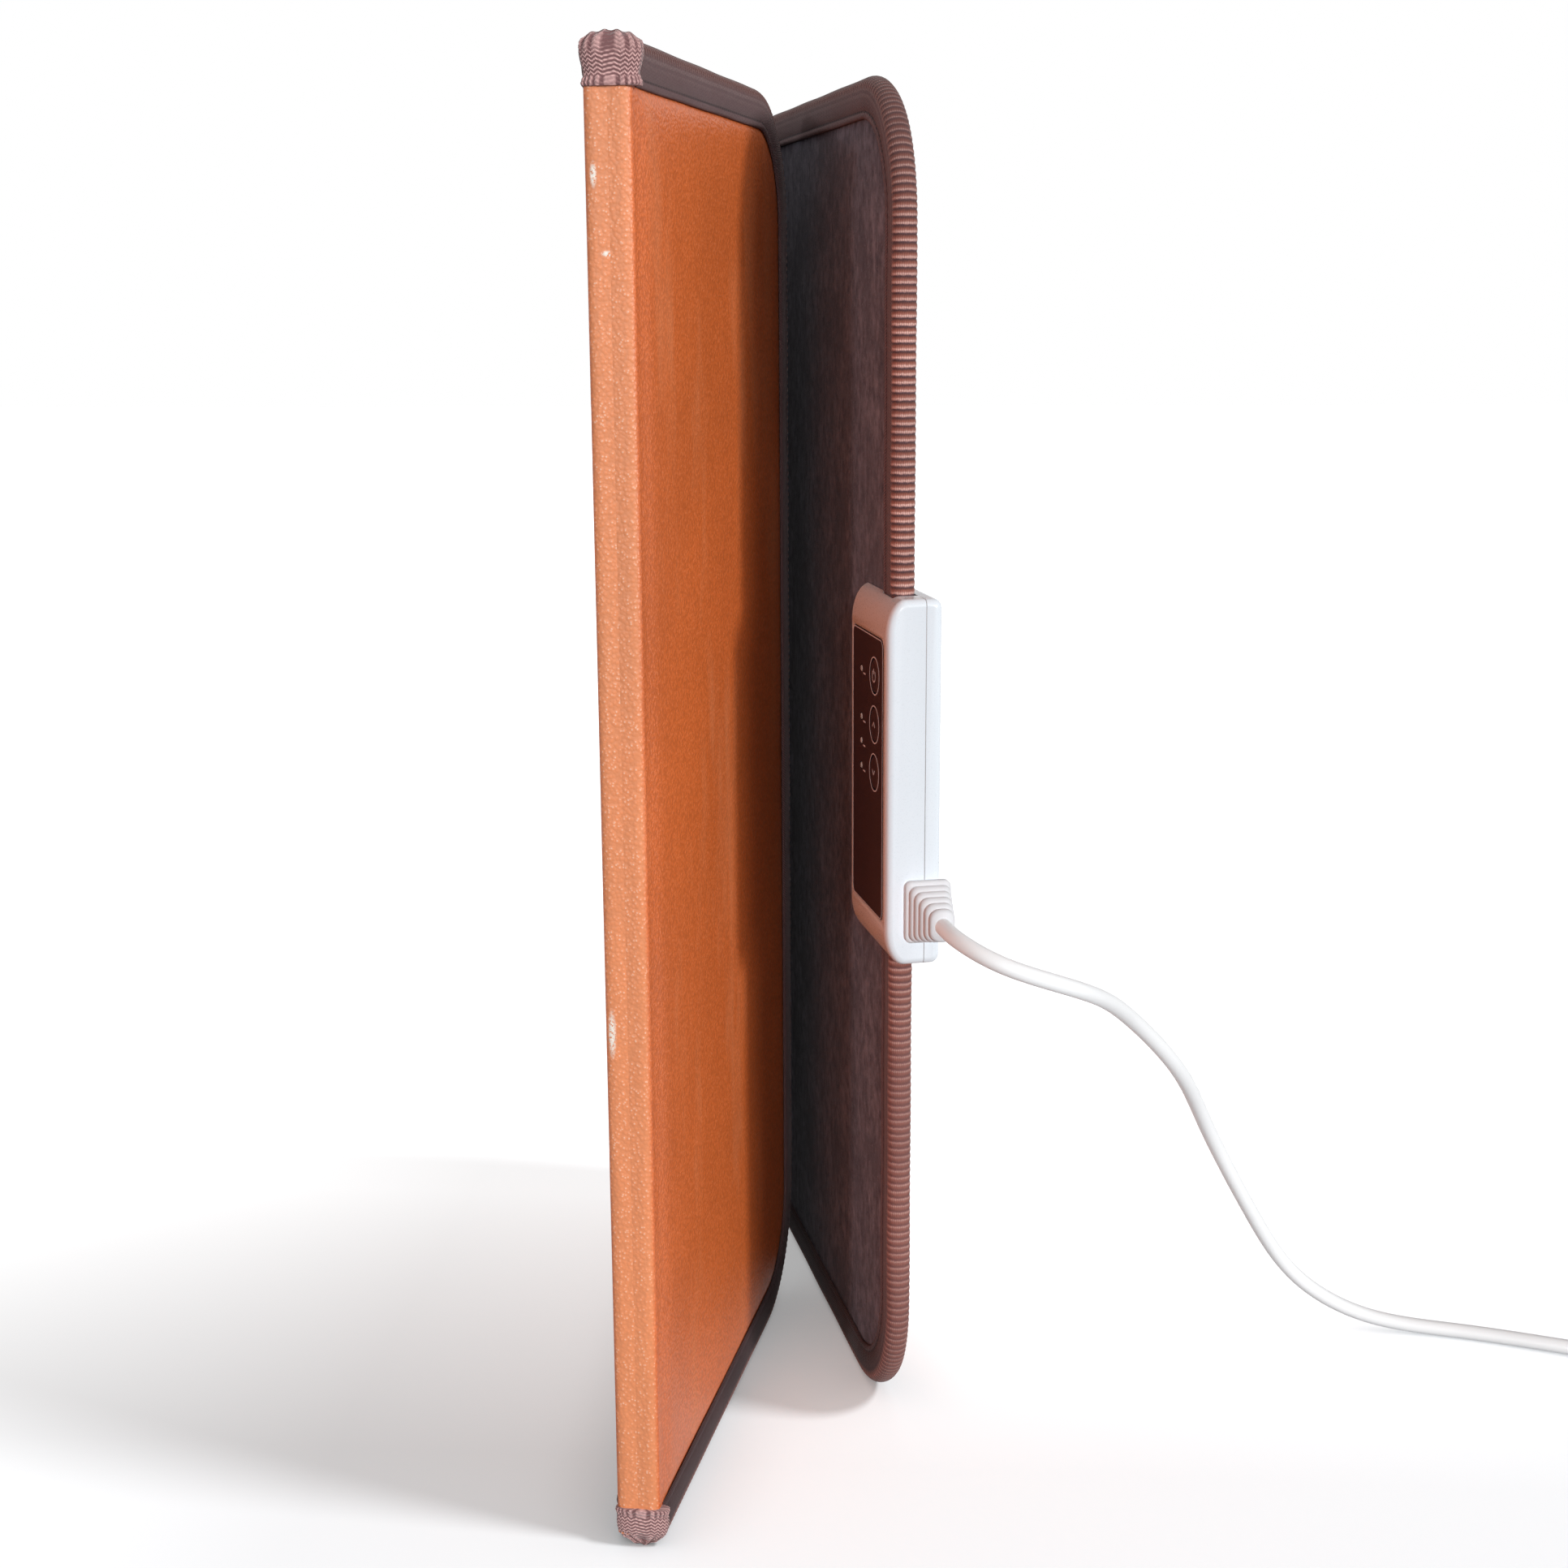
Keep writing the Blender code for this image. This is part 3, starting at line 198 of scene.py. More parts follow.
def sheet_piece(name, grid, thickness, facing, uv=None, keep=None, smooth=60.0):
    """An open sheet with its thickness behind the face that looks towards facing."""
    made = grid_piece(name, grid, uv, keep, facing=facing, smooth=smooth)
    step = made.modifiers.new("wall", "SOLIDIFY")
    step.thickness = thickness
    step.offset = -1.0
    return made


def stack(*parts):
    """Arrays brought to one shape and set side by side, as the numbers of each point."""
    return np.stack(np.broadcast_arrays(*parts), -1)


def even_points(first, last, step):
    """Values from first to last, as near to a step apart as a whole number of steps allows."""
    return np.linspace(first, last, max(2, int(round(abs(last - first) / step)) + 1))


def ease(x, low, high):
    """0 below low, 1 above high, and a smooth step between them."""
    t = np.clip((np.asarray(x, float) - low) / (high - low), 0.0, 1.0)
    return t * t * (3 - 2 * t)


def waves(u, v, size, amount, seed):
    """Gentle unevenness: the sum of six sine waves of about one size in fixed directions."""
    rng = np.random.default_rng(seed)
    total = np.zeros(np.broadcast(u, v).shape)
    for _ in range(6):
        angle, phase = rng.uniform(0, 2 * math.pi), rng.uniform(0, 2 * math.pi)
        length = size * rng.uniform(0.7, 1.4)
        total = total + np.sin((u * math.cos(angle) + v * math.sin(angle)) * 2 * math.pi / length + phase)
    return total * amount / 6

# %% [markdown]
# A mains cord is one length of vinyl, 6 mm across. It leaves the controller through its
# strain relief, sags to the floor, runs on, and what isn't needed is wound into a flat coil
# held by a tie, with the plug at its end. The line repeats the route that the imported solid
# follows. A curve that must go through given points kinks a little at each of them, so a
# B-spline is better for a cord: its guides only pull, and the bend changes smoothly.

# %% The line of the cord
CORD = 6.0 * MM
CORD_HOLE = (33.6 * MM, 8.45 * MM, 209.5 * MM)  # in the controller's frame
CORD_EXIT = in_row(CASE, CORD_HOLE)
CORD_OUT = CASE[1][0]
CORD_STRAIGHT, CORD_LEAD, CORD_LANDING = 5.0 * MM, 16.5 * MM, 22.0 * MM
CORD_GUIDES = (
    (-0.135, -0.128, 0.204), (-0.129, -0.158, 0.195), (-0.084, -0.172, 0.174), (-0.053, -0.198, 0.140),
    (-0.019, -0.209, 0.107), (0.003, -0.234, 0.057), (0.023, -0.253, 0.022), (0.024, -0.285, 0.0032),
    (0.019, -0.325, 0.0032), (0.003, -0.373, 0.0032),
)
COIL_START, COIL_HEADING = (-0.0095, -0.4160), math.radians(254.9)
COIL_RADIUS, COIL_PITCH = 43.0 * MM, 6.6 * MM
COIL_LOW, COIL_HIGH = 4.4 * MM, 11.0 * MM
COIL_TURNS = 149 / 24
PLUG_LEAD, PLUG_DROP, PLUG_GRIP = 26 * MM, 1.6 * MM, 6.0 * MM
CORD_STEP, POINTS_A_TURN = 4.0 * MM, 60
COIL_RIGHT = COIL_HEADING - math.pi / 2
COIL_CENTRE = np.array(COIL_START) + COIL_RADIUS * np.array([math.cos(COIL_RIGHT), math.sin(COIL_RIGHT)])


def coil_radius(turns):
    """Distance from the coil's centre: in at a steady rate to half way, then out again."""
    return COIL_RADIUS - COIL_PITCH * np.minimum(turns, COIL_TURNS - turns)


def coil_points(turns):
    """Points of the coil after some turns. It climbs onto itself in the half turn at its middle."""
    angle = COIL_HEADING + math.pi / 2 - 2 * math.pi * turns
    height = COIL_LOW + (COIL_HIGH - COIL_LOW) * ease(turns, COIL_TURNS / 2 - 0.25, COIL_TURNS / 2 + 0.25)
    radius = coil_radius(turns)
    return stack(COIL_CENTRE[0] + radius * np.cos(angle), COIL_CENTRE[1] + radius * np.sin(angle), height)


def length_along(line):
    """The running length of a line at each of its points."""
    return np.concatenate([[0.0], np.cumsum(np.linalg.norm(np.diff(line, axis=0), axis=1))])


def resampled(line, step):
    """The same line with its points at even steps."""
    along = length_along(line)
    even = np.linspace(0, along[-1], int(round(along[-1] / step)) + 1)
    return np.stack([np.interp(even, along, line[:, k]) for k in range(line.shape[1])], -1)


def smooth_route(guides, steps=24):
    """A cubic B-spline. Four guides pull each stretch, with the weights (1 - t)^3, 3t^3 - 6t^2 + 4,
    3t(1 + t - t^2) + 1 and t^3, all over six. A guide more at each end makes it reach both ends."""
    guides = np.asarray(guides, float)
    guides = np.vstack([2 * guides[:1] - guides[1:2], guides, 2 * guides[-1:] - guides[-2:-1]])
    t = np.linspace(0, 1, steps, endpoint=False)[:, None, None]
    pulls = ((1 - t) ** 3, 3 * t**3 - 6 * t**2 + 4, 3 * t * (1 + t - t * t) + 1, t**3)
    stretches = len(guides) - 3
    curve = sum(pull * guides[k : k + stretches] for k, pull in enumerate(pulls)) / 6
    return np.vstack([curve.transpose(1, 0, 2).reshape(-1, guides.shape[1]), guides[-2:-1]])


heading = np.array([math.cos(COIL_HEADING), math.sin(COIL_HEADING), 0.0])
turns = np.linspace(0, COIL_TURNS, int(COIL_TURNS * POINTS_A_TURN))
winding = coil_points(turns)
arriving = winding[0] - heading * 0.5 * MM
free = smooth_route([
    CORD_EXIT + CORD_OUT * CORD_STRAIGHT, CORD_EXIT + CORD_OUT * CORD_LEAD, *CORD_GUIDES,
    arriving - heading * CORD_LANDING, arriving,
])
last_angle = COIL_HEADING - 2 * math.pi * COIL_TURNS
leaving = np.array([math.cos(last_angle), math.sin(last_angle), 0.0])
share = np.linspace(0.1, 1.0, 8)[:, None]
outrun = winding[-1] + leaving * PLUG_LEAD * share - np.array([0, 0, PLUG_DROP]) * share**2
plug_at = outrun[-1] + leaving * PLUG_GRIP
line = resampled(np.vstack([CORD_EXIT[None], free, winding, outrun, plug_at[None]]), CORD_STEP)
cord_length = length_along(line)[-1]
print(f"cord {cord_length:.3f} m in {len(line)} points, plug at {plug_at.round(4)}")

# %% [markdown]
# Finishes are made with nodes. Each one starts from a Principled shader with its plain
# numbers set on its own sockets. A small class holds the node tree and has a short method for
# each kind of node, so that a pattern reads like a sum. Patterns read Object coordinates, or
# the piece's own cloth map where they follow a path.

# %% Helpers for the finishes
finishes = {}


def linear(colour):
    """Screen colour values, 0 to 255, as the linear ones that a shader works in."""
    c = np.array(colour, float) / 255
    return tuple(float(x) for x in np.where(c <= 0.04045, c / 12.92, ((c + 0.055) / 1.055) ** 2.4))


def is_output(value):
    """Whether a value is a node's socket and not a plain number, vector or colour."""
    return isinstance(value, bpy.types.NodeSocket)


class Nodes:
    """A node tree with a short method for each kind of node. Each method gives an output, and
    takes plain values or other nodes' outputs."""

    def __init__(self, tree):
        self.tree = tree

    def join(self, value, socket):
        """Give a socket its value: a link from an output, or the plain value itself."""
        if is_output(value):
            self.tree.links.new(value, socket)
        else:
            socket.default_value = value

    def add(self, kind, settings=(), numbered=(), **named):
        """A node with some properties set, and inputs given by number or by name."""
        made = self.tree.nodes.new("ShaderNode" + kind)
        for key, value in dict(settings).items():
            setattr(made, key, value)
        for key, value in dict(numbered).items():
            self.join(value, made.inputs[key])
        for key, value in named.items():
            self.join(value, made.inputs[key.replace("_", " ")])
        return made

    def object_place(self, scale=(1, 1, 1), turn=(0, 0, 0)):
        """Object coordinates, stretched and turned."""
        where = self.add("TexCoord").outputs["Object"]
        return self.add("Mapping", Vector=where, Scale=scale, Rotation=turn).outputs[0]

    def cloth_place(self, scale=(1, 1, 1)):
        """The piece's own map in metres, stretched."""
        where = self.add("UVMap", {"uv_map": "cloth"}).outputs[0]
        return self.add("Mapping", Vector=where, Scale=scale).outputs[0]

    def axis(self, place, k):
        """The X, Y or Z of a place, for a k of 0, 1 or 2."""
        return self.add("SeparateXYZ", Vector=place).outputs[k]

    def noise(self, place, scale, detail=2.0, roughness=0.5):
        """Noise from 0 to 1 whose blobs are about one over the scale, in metres."""
        made = self.add("TexNoise", Vector=place, Scale=scale, Detail=detail, Roughness=roughness)
        return made.outputs[0]

    def math(self, operation, a, b=0.0):
        """One step of arithmetic on one or two values."""
        return self.add("Math", {"operation": operation}, {0: a, 1: b}).outputs[0]

    def plus(self, a, b):
        """The sum a + b."""
        return self.math("ADD", a, b)

    def less(self, a, b):
        """The difference a - b."""
        return self.math("SUBTRACT", a, b)

    def times(self, first, *others):
        """The product of two or more values."""
        for other in others:
            first = self.math("MULTIPLY", first, other)
        return first

    def fade(self, value, low, high, to_low=0.0, to_high=1.0):
        """A value mapped from one range to another and held inside it."""
        ends = {"From_Min": low, "From_Max": high, "To_Min": to_low, "To_Max": to_high}
        return self.add("MapRange", {"clamp": True}, Value=value, **ends).outputs[0]

    def wave(self, value, length):
        """A sine wave of a distance, as a value from 0 to 1."""
        return self.fade(self.math("SINE", self.times(value, 2 * math.pi / length)), -1.0, 1.0)

    def ramp(self, factor, *stops):
        """A colour ramp over (position, colour as it looks) pairs."""
        made = self.add("ValToRGB", Fac=factor)
        while len(made.color_ramp.elements) < len(stops):
            made.color_ramp.elements.new(0.5)
        for element, (position, colour) in zip(made.color_ramp.elements, stops):
            element.position = position
            element.color = (*linear(colour), 1.0)
        return made.outputs["Color"]

    def blend(self, factor, a, b):
        """Two colours mixed by a factor; each is an output or a colour as it looks."""
        a, b = (c if is_output(c) else (*linear(c), 1.0) for c in (a, b))
        return self.add("Mix", {"data_type": "RGBA"}, {0: factor, 6: a, 7: b}).outputs[2]

    def layers(self, base, *pairs):
        """A base colour with other colours laid over it in turn, each by its own factor."""
        for factor, colour in pairs:
            base = self.blend(factor, base, colour)
        return base

    def relief(self, height, distance, under=None):
        """Small relief in metres: a height from 0 to 1 times a distance, on top of another relief."""
        more = {} if under is None else {"Normal": under}
        return self.add("Bump", Height=height, Distance=distance, **more).outputs[0]


class Finish(Nodes):
    """A material with a Principled shader. Colours are given as 0 to 255, as they look."""

    def __init__(self, name, colour, roughness, **sockets):
        made = bpy.data.materials.new(name)
        made.use_nodes = True
        super().__init__(made.node_tree)
        self.shader = made.node_tree.nodes["Principled BSDF"]
        made.diffuse_color = (*linear(colour), 1.0)
        self.set(Base_Color=made.diffuse_color, Roughness=roughness, **sockets)
        finishes[name] = made
        print("finish:", name)

    def set(self, **sockets):
        """Plain values or outputs for the shader's own sockets."""
        for key, value in sockets.items():
            self.join(value, self.shader.inputs[key.replace("_", " ")])


# %% [markdown]
# The leather is a coated, embossed one: an even orange brown, with small round pebbles. Their
# tops are painted pinkish and paler, as painted highlights, and the valleys between them darker,
# as painted shade. Real grain is pressed with a plate, so cells of nearly one size suit it,
# which is what a smooth Voronoi texture gives. A slow noise keeps the colour alive, long pale
# smears show where it was rubbed, the spines are painted paler, as a painted highlight of the
# light that falls on them, with their pebble tops paler still, and a few small spots on one of
# them are worn to the backing. All of it reads the piece's own map, whose first number is
# below zero on a spine, so the pattern stays with the leather when a panel is unfolded.

# %% Leather
TAN, HIDE_ROUGH = (228, 112, 50), 0.44
PEBBLE, GRAIN_DEPTH = 1.25 * MM, 0.20 * MM
WORN_SPOTS = (((-2.7, 459.9), (1.3, 4.4)), ((-6.6, 436.6), (2.3, 1.1)), ((-2.2, 187.0), (1.6, 9.5)))

hide = Finish("orange_leather", TAN, HIDE_ROUGH, Specular_IOR_Level=0.55)
place = hide.cloth_place()
slow, fine = hide.noise(place, 9.0, 4.0, 0.55), hide.noise(place, 700.0, 3.0, 0.6)
cells = hide.add(
    "TexVoronoi", {"feature": "SMOOTH_F1"}, Vector=place, Scale=1.0 / PEBBLE, Smoothness=0.25, Randomness=0.9
).outputs["Distance"]
valley_shade, top = hide.fade(cells, 0.34, 0.70), hide.fade(cells, 0.08, 0.34, 1.0, 0.0)
spine = hide.fade(hide.axis(place, 0), -1.2 * MM, 0.6 * MM, 1.0, 0.0)
rubbed = hide.fade(hide.noise(hide.cloth_place((6.0, 1.1, 1.0)), 5.0, 4.0, 0.6), 0.54, 0.74)


def worn_spot(centre, radii):
    """A ragged spot: 1 inside an ellipse on the map, given in mm, broken up by a fine noise."""
    away = place
    for operation, (x, y), z in (("SUBTRACT", centre, 0), ("DIVIDE", radii, 1)):
        away = hide.add("VectorMath", {"operation": operation}, {0: away, 1: (x * MM, y * MM, z)}).outputs[0]
    away = hide.add("VectorMath", {"operation": "LENGTH"}, {0: away}).outputs["Value"]
    ragged = hide.noise(place, 1100.0, 3.0, 0.7)
    return hide.times(hide.fade(away, 0.4, 1.0, 1.0, 0.0), hide.fade(ragged, 0.42, 0.49))


base = hide.layers(
    hide.ramp(hide.fade(slow, 0.3, 0.7), (0.0, [c * 0.94 for c in TAN]), (1.0, [c * 1.04 + 3 for c in TAN])),
    # painted shade in the grain's valleys, and painted pinkish highlights on the pebble tops
    (hide.times(valley_shade, 0.45), [c * 0.78 for c in TAN]),
    (hide.times(top, 0.26), (255, 180, 138)),
    # the spines are painted paler, as a painted highlight of the light that falls on them, and their pebble
    # tops paler still
    (hide.times(spine, 0.38), (255, 184, 136)),
    (hide.times(spine, top, 0.50), (255, 226, 204)),
    (hide.times(rubbed, 0.24), (240, 168, 122)),
    *((worn_spot(*spot), (255, 246, 234)) for spot in WORN_SPOTS),
)
rough = hide.fade(fine, 0.3, 0.7, HIDE_ROUGH - 0.06, HIDE_ROUGH + 0.06)
grain = hide.relief(hide.less(1.0, cells), GRAIN_DEPTH, hide.relief(fine, GRAIN_DEPTH * 0.2))
hide.set(Base_Color=base, Roughness=hide.plus(rough, hide.times(rubbed, 0.10)), Normal=grain)

# %% [markdown]
# The inside is a short felt, a cool grey that turns brown where the leather's light falls on
# it. Its nap is a little longer upwards, so the noise is stretched along the height, and paler
# lint lies on it. A little sheen lifts the edges, as loose fibres do.

# %% Felt
felt = Finish(
    "grey_felt", (104, 100, 110), 0.95, Specular_IOR_Level=0.12, Sheen_Weight=0.08, Sheen_Roughness=0.5,
    Sheen_Tint=(1.0, 0.93, 0.92, 1.0),
)
nap = felt.noise(felt.object_place((1.0, 1.0, 0.62)), 260.0, 5.0, 0.7)
patch = felt.noise(felt.object_place((1.0, 1.0, 0.75)), 55.0, 5.0, 0.7)
lint = felt.noise(felt.object_place(), 1100.0, 2.0, 0.7)
base = felt.layers(
    felt.ramp(felt.fade(nap, 0.34, 0.66), (0.0, (76, 72, 83)), (1.0, (132, 128, 140))),
    (felt.fade(patch, 0.42, 0.62, 0.0, 0.65), (74, 70, 80)),
    (felt.fade(lint, 0.60, 0.72, 0.0, 0.5), (158, 152, 164)),
)
felt.set(Base_Color=base, Normal=felt.relief(nap, 0.20 * MM, felt.relief(lint, 0.10 * MM)))

# %% [markdown]
# The binding is a ribbed tape, woven like a wide shoelace. Round the edge it is stretched, and
# its thick cords stand out as ribs, rust on one flank and pale pink on the other, with dark gaps
# and fine bead-like threads across. The pale pink flank is a painted highlight, and the dark
# gaps are painted shade. Lower down the ribs are blended towards one flat colour and show less.
# At the very top they are painted darker, as painted shade. On the faces the tape lies flat and
# shows only fine slanting ribs with pale dashes, and a sewn groove that is painted darker, as
# painted shade, with darker stitches in it. Near the foot the faces are painted darker too, as
# painted shade. The cords are real relief in the mesh. The threads are too fine for that, so
# waves on the tape's own map make them: its first number runs along the tape, and its second
# from the edge's middle.

# %% Woven tape
RIB = 2.8 * MM

tape = Finish(
    "ribbed_tape", (150, 108, 104), 0.85, Specular_IOR_Level=0.25, Sheen_Weight=0.12, Sheen_Roughness=0.5
)
along, across = (tape.axis(tape.cloth_place(), k) for k in (0, 1))
height_up = tape.axis(tape.object_place(), 2)
reach = tape.math("ABSOLUTE", across)
tangle, slow = tape.noise(tape.object_place(), 900.0, 3.0, 0.65), tape.noise(tape.object_place(), 26.0)
beads = tape.wave(across, 0.78 * MM)
ribs = tape.math("ABSOLUTE", tape.math("SINE", tape.times(along, math.pi / RIB)))
cords = tape.times(ribs, tape.plus(tape.times(beads, 0.5), 0.5))
cords = tape.plus(cords, tape.times(tape.less(tangle, 0.5), 0.5))
place_in_rib = tape.plus(tape.times(along, 1 / RIB), tape.fade(tangle, 0.3, 0.7, -0.06, 0.06))
# round the edge, each rib's pale pink flank is a painted highlight and its dark gaps are painted shade
edge = tape.layers(
    tape.ramp(
        tape.math("FRACT", place_in_rib), (0.0, (58, 40, 46)), (0.12, (100, 62, 56)), (0.30, (152, 90, 74)),
        (0.48, (180, 120, 106)), (0.66, (246, 200, 188)), (0.78, (206, 158, 150)), (0.90, (98, 76, 82)),
        (1.0, (58, 40, 46)),
    ),
    (tape.fade(beads, 0.0, 0.6, 0.45, 0.0), (120, 76, 70)),
    # lower down, the ribs are blended towards one flat colour
    (tape.fade(height_up, 150 * MM, 260 * MM, 0.62, 0.0), (138, 92, 86)),
    # near the very top the ribs are painted darker, as painted shade
    (tape.fade(height_up, 430 * MM, 482 * MM, 0.0, 0.70), (84, 58, 57)),
)
slant = tape.wave(tape.plus(along, tape.times(across, 0.9)), 1.05 * MM)
weft = tape.times(slant, tape.fade(tangle, 0.3, 0.7, 0.45, 1.0))
dashes = tape.times(tape.fade(slant, 0.55, 0.85), tape.fade(tape.wave(across, 2.4 * MM), 0.35, 0.6))
groove = tape.fade(tape.math("ABSOLUTE", tape.less(reach, 14.7 * MM)), 0.3 * MM, 0.55 * MM, 1.0, 0.0)
face = tape.layers(
    tape.ramp(weft, (0.0, (80, 55, 57)), (1.0, (134, 101, 101))),
    (tape.times(dashes, tape.fade(reach, 7.0 * MM, 11.5 * MM, 0.5, 0.0)), (196, 168, 164)),
    # the sewn groove is painted darker, as painted shade, with darker stitches in it
    (tape.times(groove, 0.5), (58, 36, 38)),
    (tape.times(groove, tape.fade(tape.wave(along, 3.1 * MM), 0.2, 0.4)), (40, 22, 24)),
    # near the foot the face is painted darker, as painted shade
    (tape.fade(height_up, 10 * MM, 45 * MM, 0.85, 0.0), (48, 28, 30)),
)
onto_face = tape.fade(reach, 5.4 * MM, 7.6 * MM)
base = tape.layers(edge, (onto_face, face), (tape.fade(slow, 0.35, 0.7, 0.0, 0.3), (92, 62, 62)))
relief = tape.relief(tape.blend(onto_face, cords, slant), 0.20 * MM, tape.relief(tangle, 0.06 * MM))
tape.set(Base_Color=base, Normal=relief)

# %% [markdown]
# Gathered, the same tape shows rows of a height that zigzag by a triangle wave of the way round.
# Above and below them, in the cap's head and skirt, upright gathers take over. The colour is
# painted light: the rows' crests are painted lighter, as a painted highlight, and their valleys
# and the gathers' folds darker, as painted shade.

# %% Gathered tape
# the colours of a lit crest and a shaded valley: painted highlight and painted shade
CREST_LIT, VALLEY_SHADE = (234, 188, 184), (128, 90, 91)
ROW, ZIG = 1.25 * MM, 1.1 * MM
HEAD_GATHER, SKIRT_GATHER = 3.3 * MM, 1.9 * MM

cap = Finish("gathered_tape", CREST_LIT, 0.86, Sheen_Weight=0.3, Sheen_Roughness=0.5, Specular_IOR_Level=0.25)
way_round, upward = (cap.axis(cap.cloth_place(), k) for k in (0, 1))
rows = cap.wave(cap.plus(upward, cap.times(cap.math("PINGPONG", way_round, ZIG), 0.8)), ROW)
threads = cap.wave(cap.less(way_round, cap.times(upward, 0.4)), 0.62 * MM)
tangle = cap.noise(cap.object_place(), 1000.0, 3.0, 0.65)
lit = cap.times(rows, cap.fade(threads, 0.0, 1.0, 0.6, 1.0))
head, skirt = cap.fade(upward, 8.5 * MM, 11.5 * MM), cap.fade(upward, 2.2 * MM, 3.2 * MM, 1.0, 0.0)
# in the head and skirt, the gathers' folds are painted darker, as painted shade
for zone, length in ((head, HEAD_GATHER), (skirt, SKIRT_GATHER)):
    folds = cap.fade(cap.wave(cap.plus(way_round, length / 4), length), 0.1, 0.6)
    parts = {0: cap.times(zone, 0.8), 2: lit, 3: cap.times(folds, 0.62)}
    lit = cap.add("Mix", {"data_type": "FLOAT"}, parts).outputs[0]
lit = cap.plus(lit, cap.times(cap.less(tangle, 0.5), 0.60))
middle = [(a + b) / 2 for a, b in zip(CREST_LIT, VALLEY_SHADE)]
cap.set(
    Base_Color=cap.ramp(lit, (0.10, VALLEY_SHADE), (0.45, middle), (0.80, CREST_LIT)),
    Normal=cap.relief(rows, 0.22 * MM, cap.relief(tangle, 0.05 * MM)),
)

# %% [markdown]
# The housing is injection moulded ABS: a cool white with a soft gloss. Moulded plastic isn't
# a mirror, because the tool is lightly blasted, so a very fine noise breaks up its highlight.
# The cord and plug are softer vinyl, duller and a touch warmer. The strain relief is the same
# vinyl in a greyer copy, as painted shade, so that its ribs don't wash out to white. The overlay
# is a printed polyester film, dark maroon and finely textured, and the buttons wear the same print.

# %% Plastics, vinyl, print and metals


def moulded(name, colour, roughness, grain, depth, variation, **sockets):
    """Plastic: one colour with a slow drift, and a fine grain, in mm, in its roughness and relief."""
    made = Finish(name, colour, roughness, **sockets)
    place = made.object_place()
    slow, fine = made.noise(place, 18.0, 3.0), made.noise(place, 1.0 / (grain * MM))
    low, high = [c * (1 - variation) for c in colour], [min(255, c * (1 + variation * 0.4)) for c in colour]
    made.set(
        Base_Color=made.ramp(made.fade(slow, 0.3, 0.7), (0.0, low), (1.0, high)),
        Roughness=made.fade(fine, 0.3, 0.7, roughness - 0.05, roughness + 0.06),
        Normal=made.relief(fine, depth * MM),
    )


moulded("white_plastic", (240, 247, 254), 0.30, 0.5, 0.004, 0.012, Coat_Weight=0.15, Coat_Roughness=0.12)
# the parting lip is painted grey, as painted shade of the gap between the shells
moulded("parting_shade_grey", (170, 166, 168), 0.60, 0.5, 0.004, 0.02)
moulded("cord_vinyl", (250, 251, 252), 0.42, 0.9, 0.01, 0.02)
# the sleeve is the cord's vinyl in a greyer copy, as painted shade, so that its ribs don't wash out
moulded("sleeve_vinyl_shaded", (226, 226, 229), 0.50, 0.9, 0.01, 0.02)
moulded("maroon_film", (50, 34, 40), 0.38, 0.35, 0.006, 0.05)
moulded("white_print", (214, 205, 206), 0.5, 0.3, 0.002, 0.02)
moulded("frosted_lens", (206, 202, 198), 0.25, 0.4, 0.004, 0.02, Transmission_Weight=0.25, IOR=1.49)
moulded("black_plastic", (34, 34, 36), 0.48, 0.5, 0.012, 0.05)
moulded("black_strap", (40, 40, 42), 0.75, 0.6, 0.05, 0.08)
moulded("zinc_steel", (186, 188, 190), 0.32, 0.4, 0.006, 0.04, Metallic=1.0)
moulded("bright_brass", (214, 178, 104), 0.26, 0.6, 0.004, 0.05, Metallic=1.0)
moulded("film_black", (30, 30, 32), 0.40, 0.8, 0.01, 0.05)
moulded("foam_white", (214, 214, 208), 0.95, 0.9, 0.12, 0.05)
moulded("board_grey", (138, 134, 126), 0.85, 1.4, 0.06, 0.10)

# %% [markdown]
# A circuit board is green because of its solder mask. Thin tracks under the mask look
# lighter, so a brick pattern with fine joints stands for them.

# %% Circuit board
board = Finish("solder_mask", (22, 92, 52), 0.38, Specular_IOR_Level=0.5)
tracks = board.add(
    "TexBrick", Vector=board.object_place((1, 1, 1), (math.pi / 2, 0, 0.3)), Scale=140.0, Mortar_Size=0.06,
    Brick_Width=1.3, Row_Height=0.4,
).outputs["Fac"]
board.set(
    Base_Color=board.ramp(tracks, (0.0, (20, 86, 48)), (1.0, (60, 132, 84))),
    Normal=board.relief(tracks, 0.02 * MM),
)

# %% [markdown]
# The cord's points become a poly curve with a round bevel, which is the plainest way to a tube
# of even thickness, and its ends are capped. A small helper gives each new piece its finish,
# tells which body it rides on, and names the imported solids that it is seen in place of.

# %% The cord as a tube


def dress(made, finish, body, replaces=()):
    """Give a new piece its finish, the body it rides on, and the nodes that it stands for."""
    made.data.materials.clear()
    made.data.materials.append(finishes[finish])
    if body:
        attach(made, body)
    if replaces:
        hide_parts(*replaces)
    print(f"{made.name}: {finish}" + (f", in place of {', '.join(replaces)}" if replaces else ""))
    return made


curve = bpy.data.curves.new("mains_cord", "CURVE")
curve.dimensions = "3D"
curve.bevel_depth = CORD / 2
curve.bevel_resolution = 5
curve.use_fill_caps = True
spline = curve.splines.new("POLY")
spline.points.add(len(line) - 1)
spline.points.foreach_set("co", np.hstack([line, np.ones((len(line), 1))]).astype(np.float32).ravel())
spline.use_smooth = True
mains_cord = bpy.data.objects.new("mains_cord", curve)
bpy.context.scene.collection.objects.link(mains_cord)
dress(mains_cord, "cord_vinyl", "right_wing", ("power_cord", "cord_coil"))

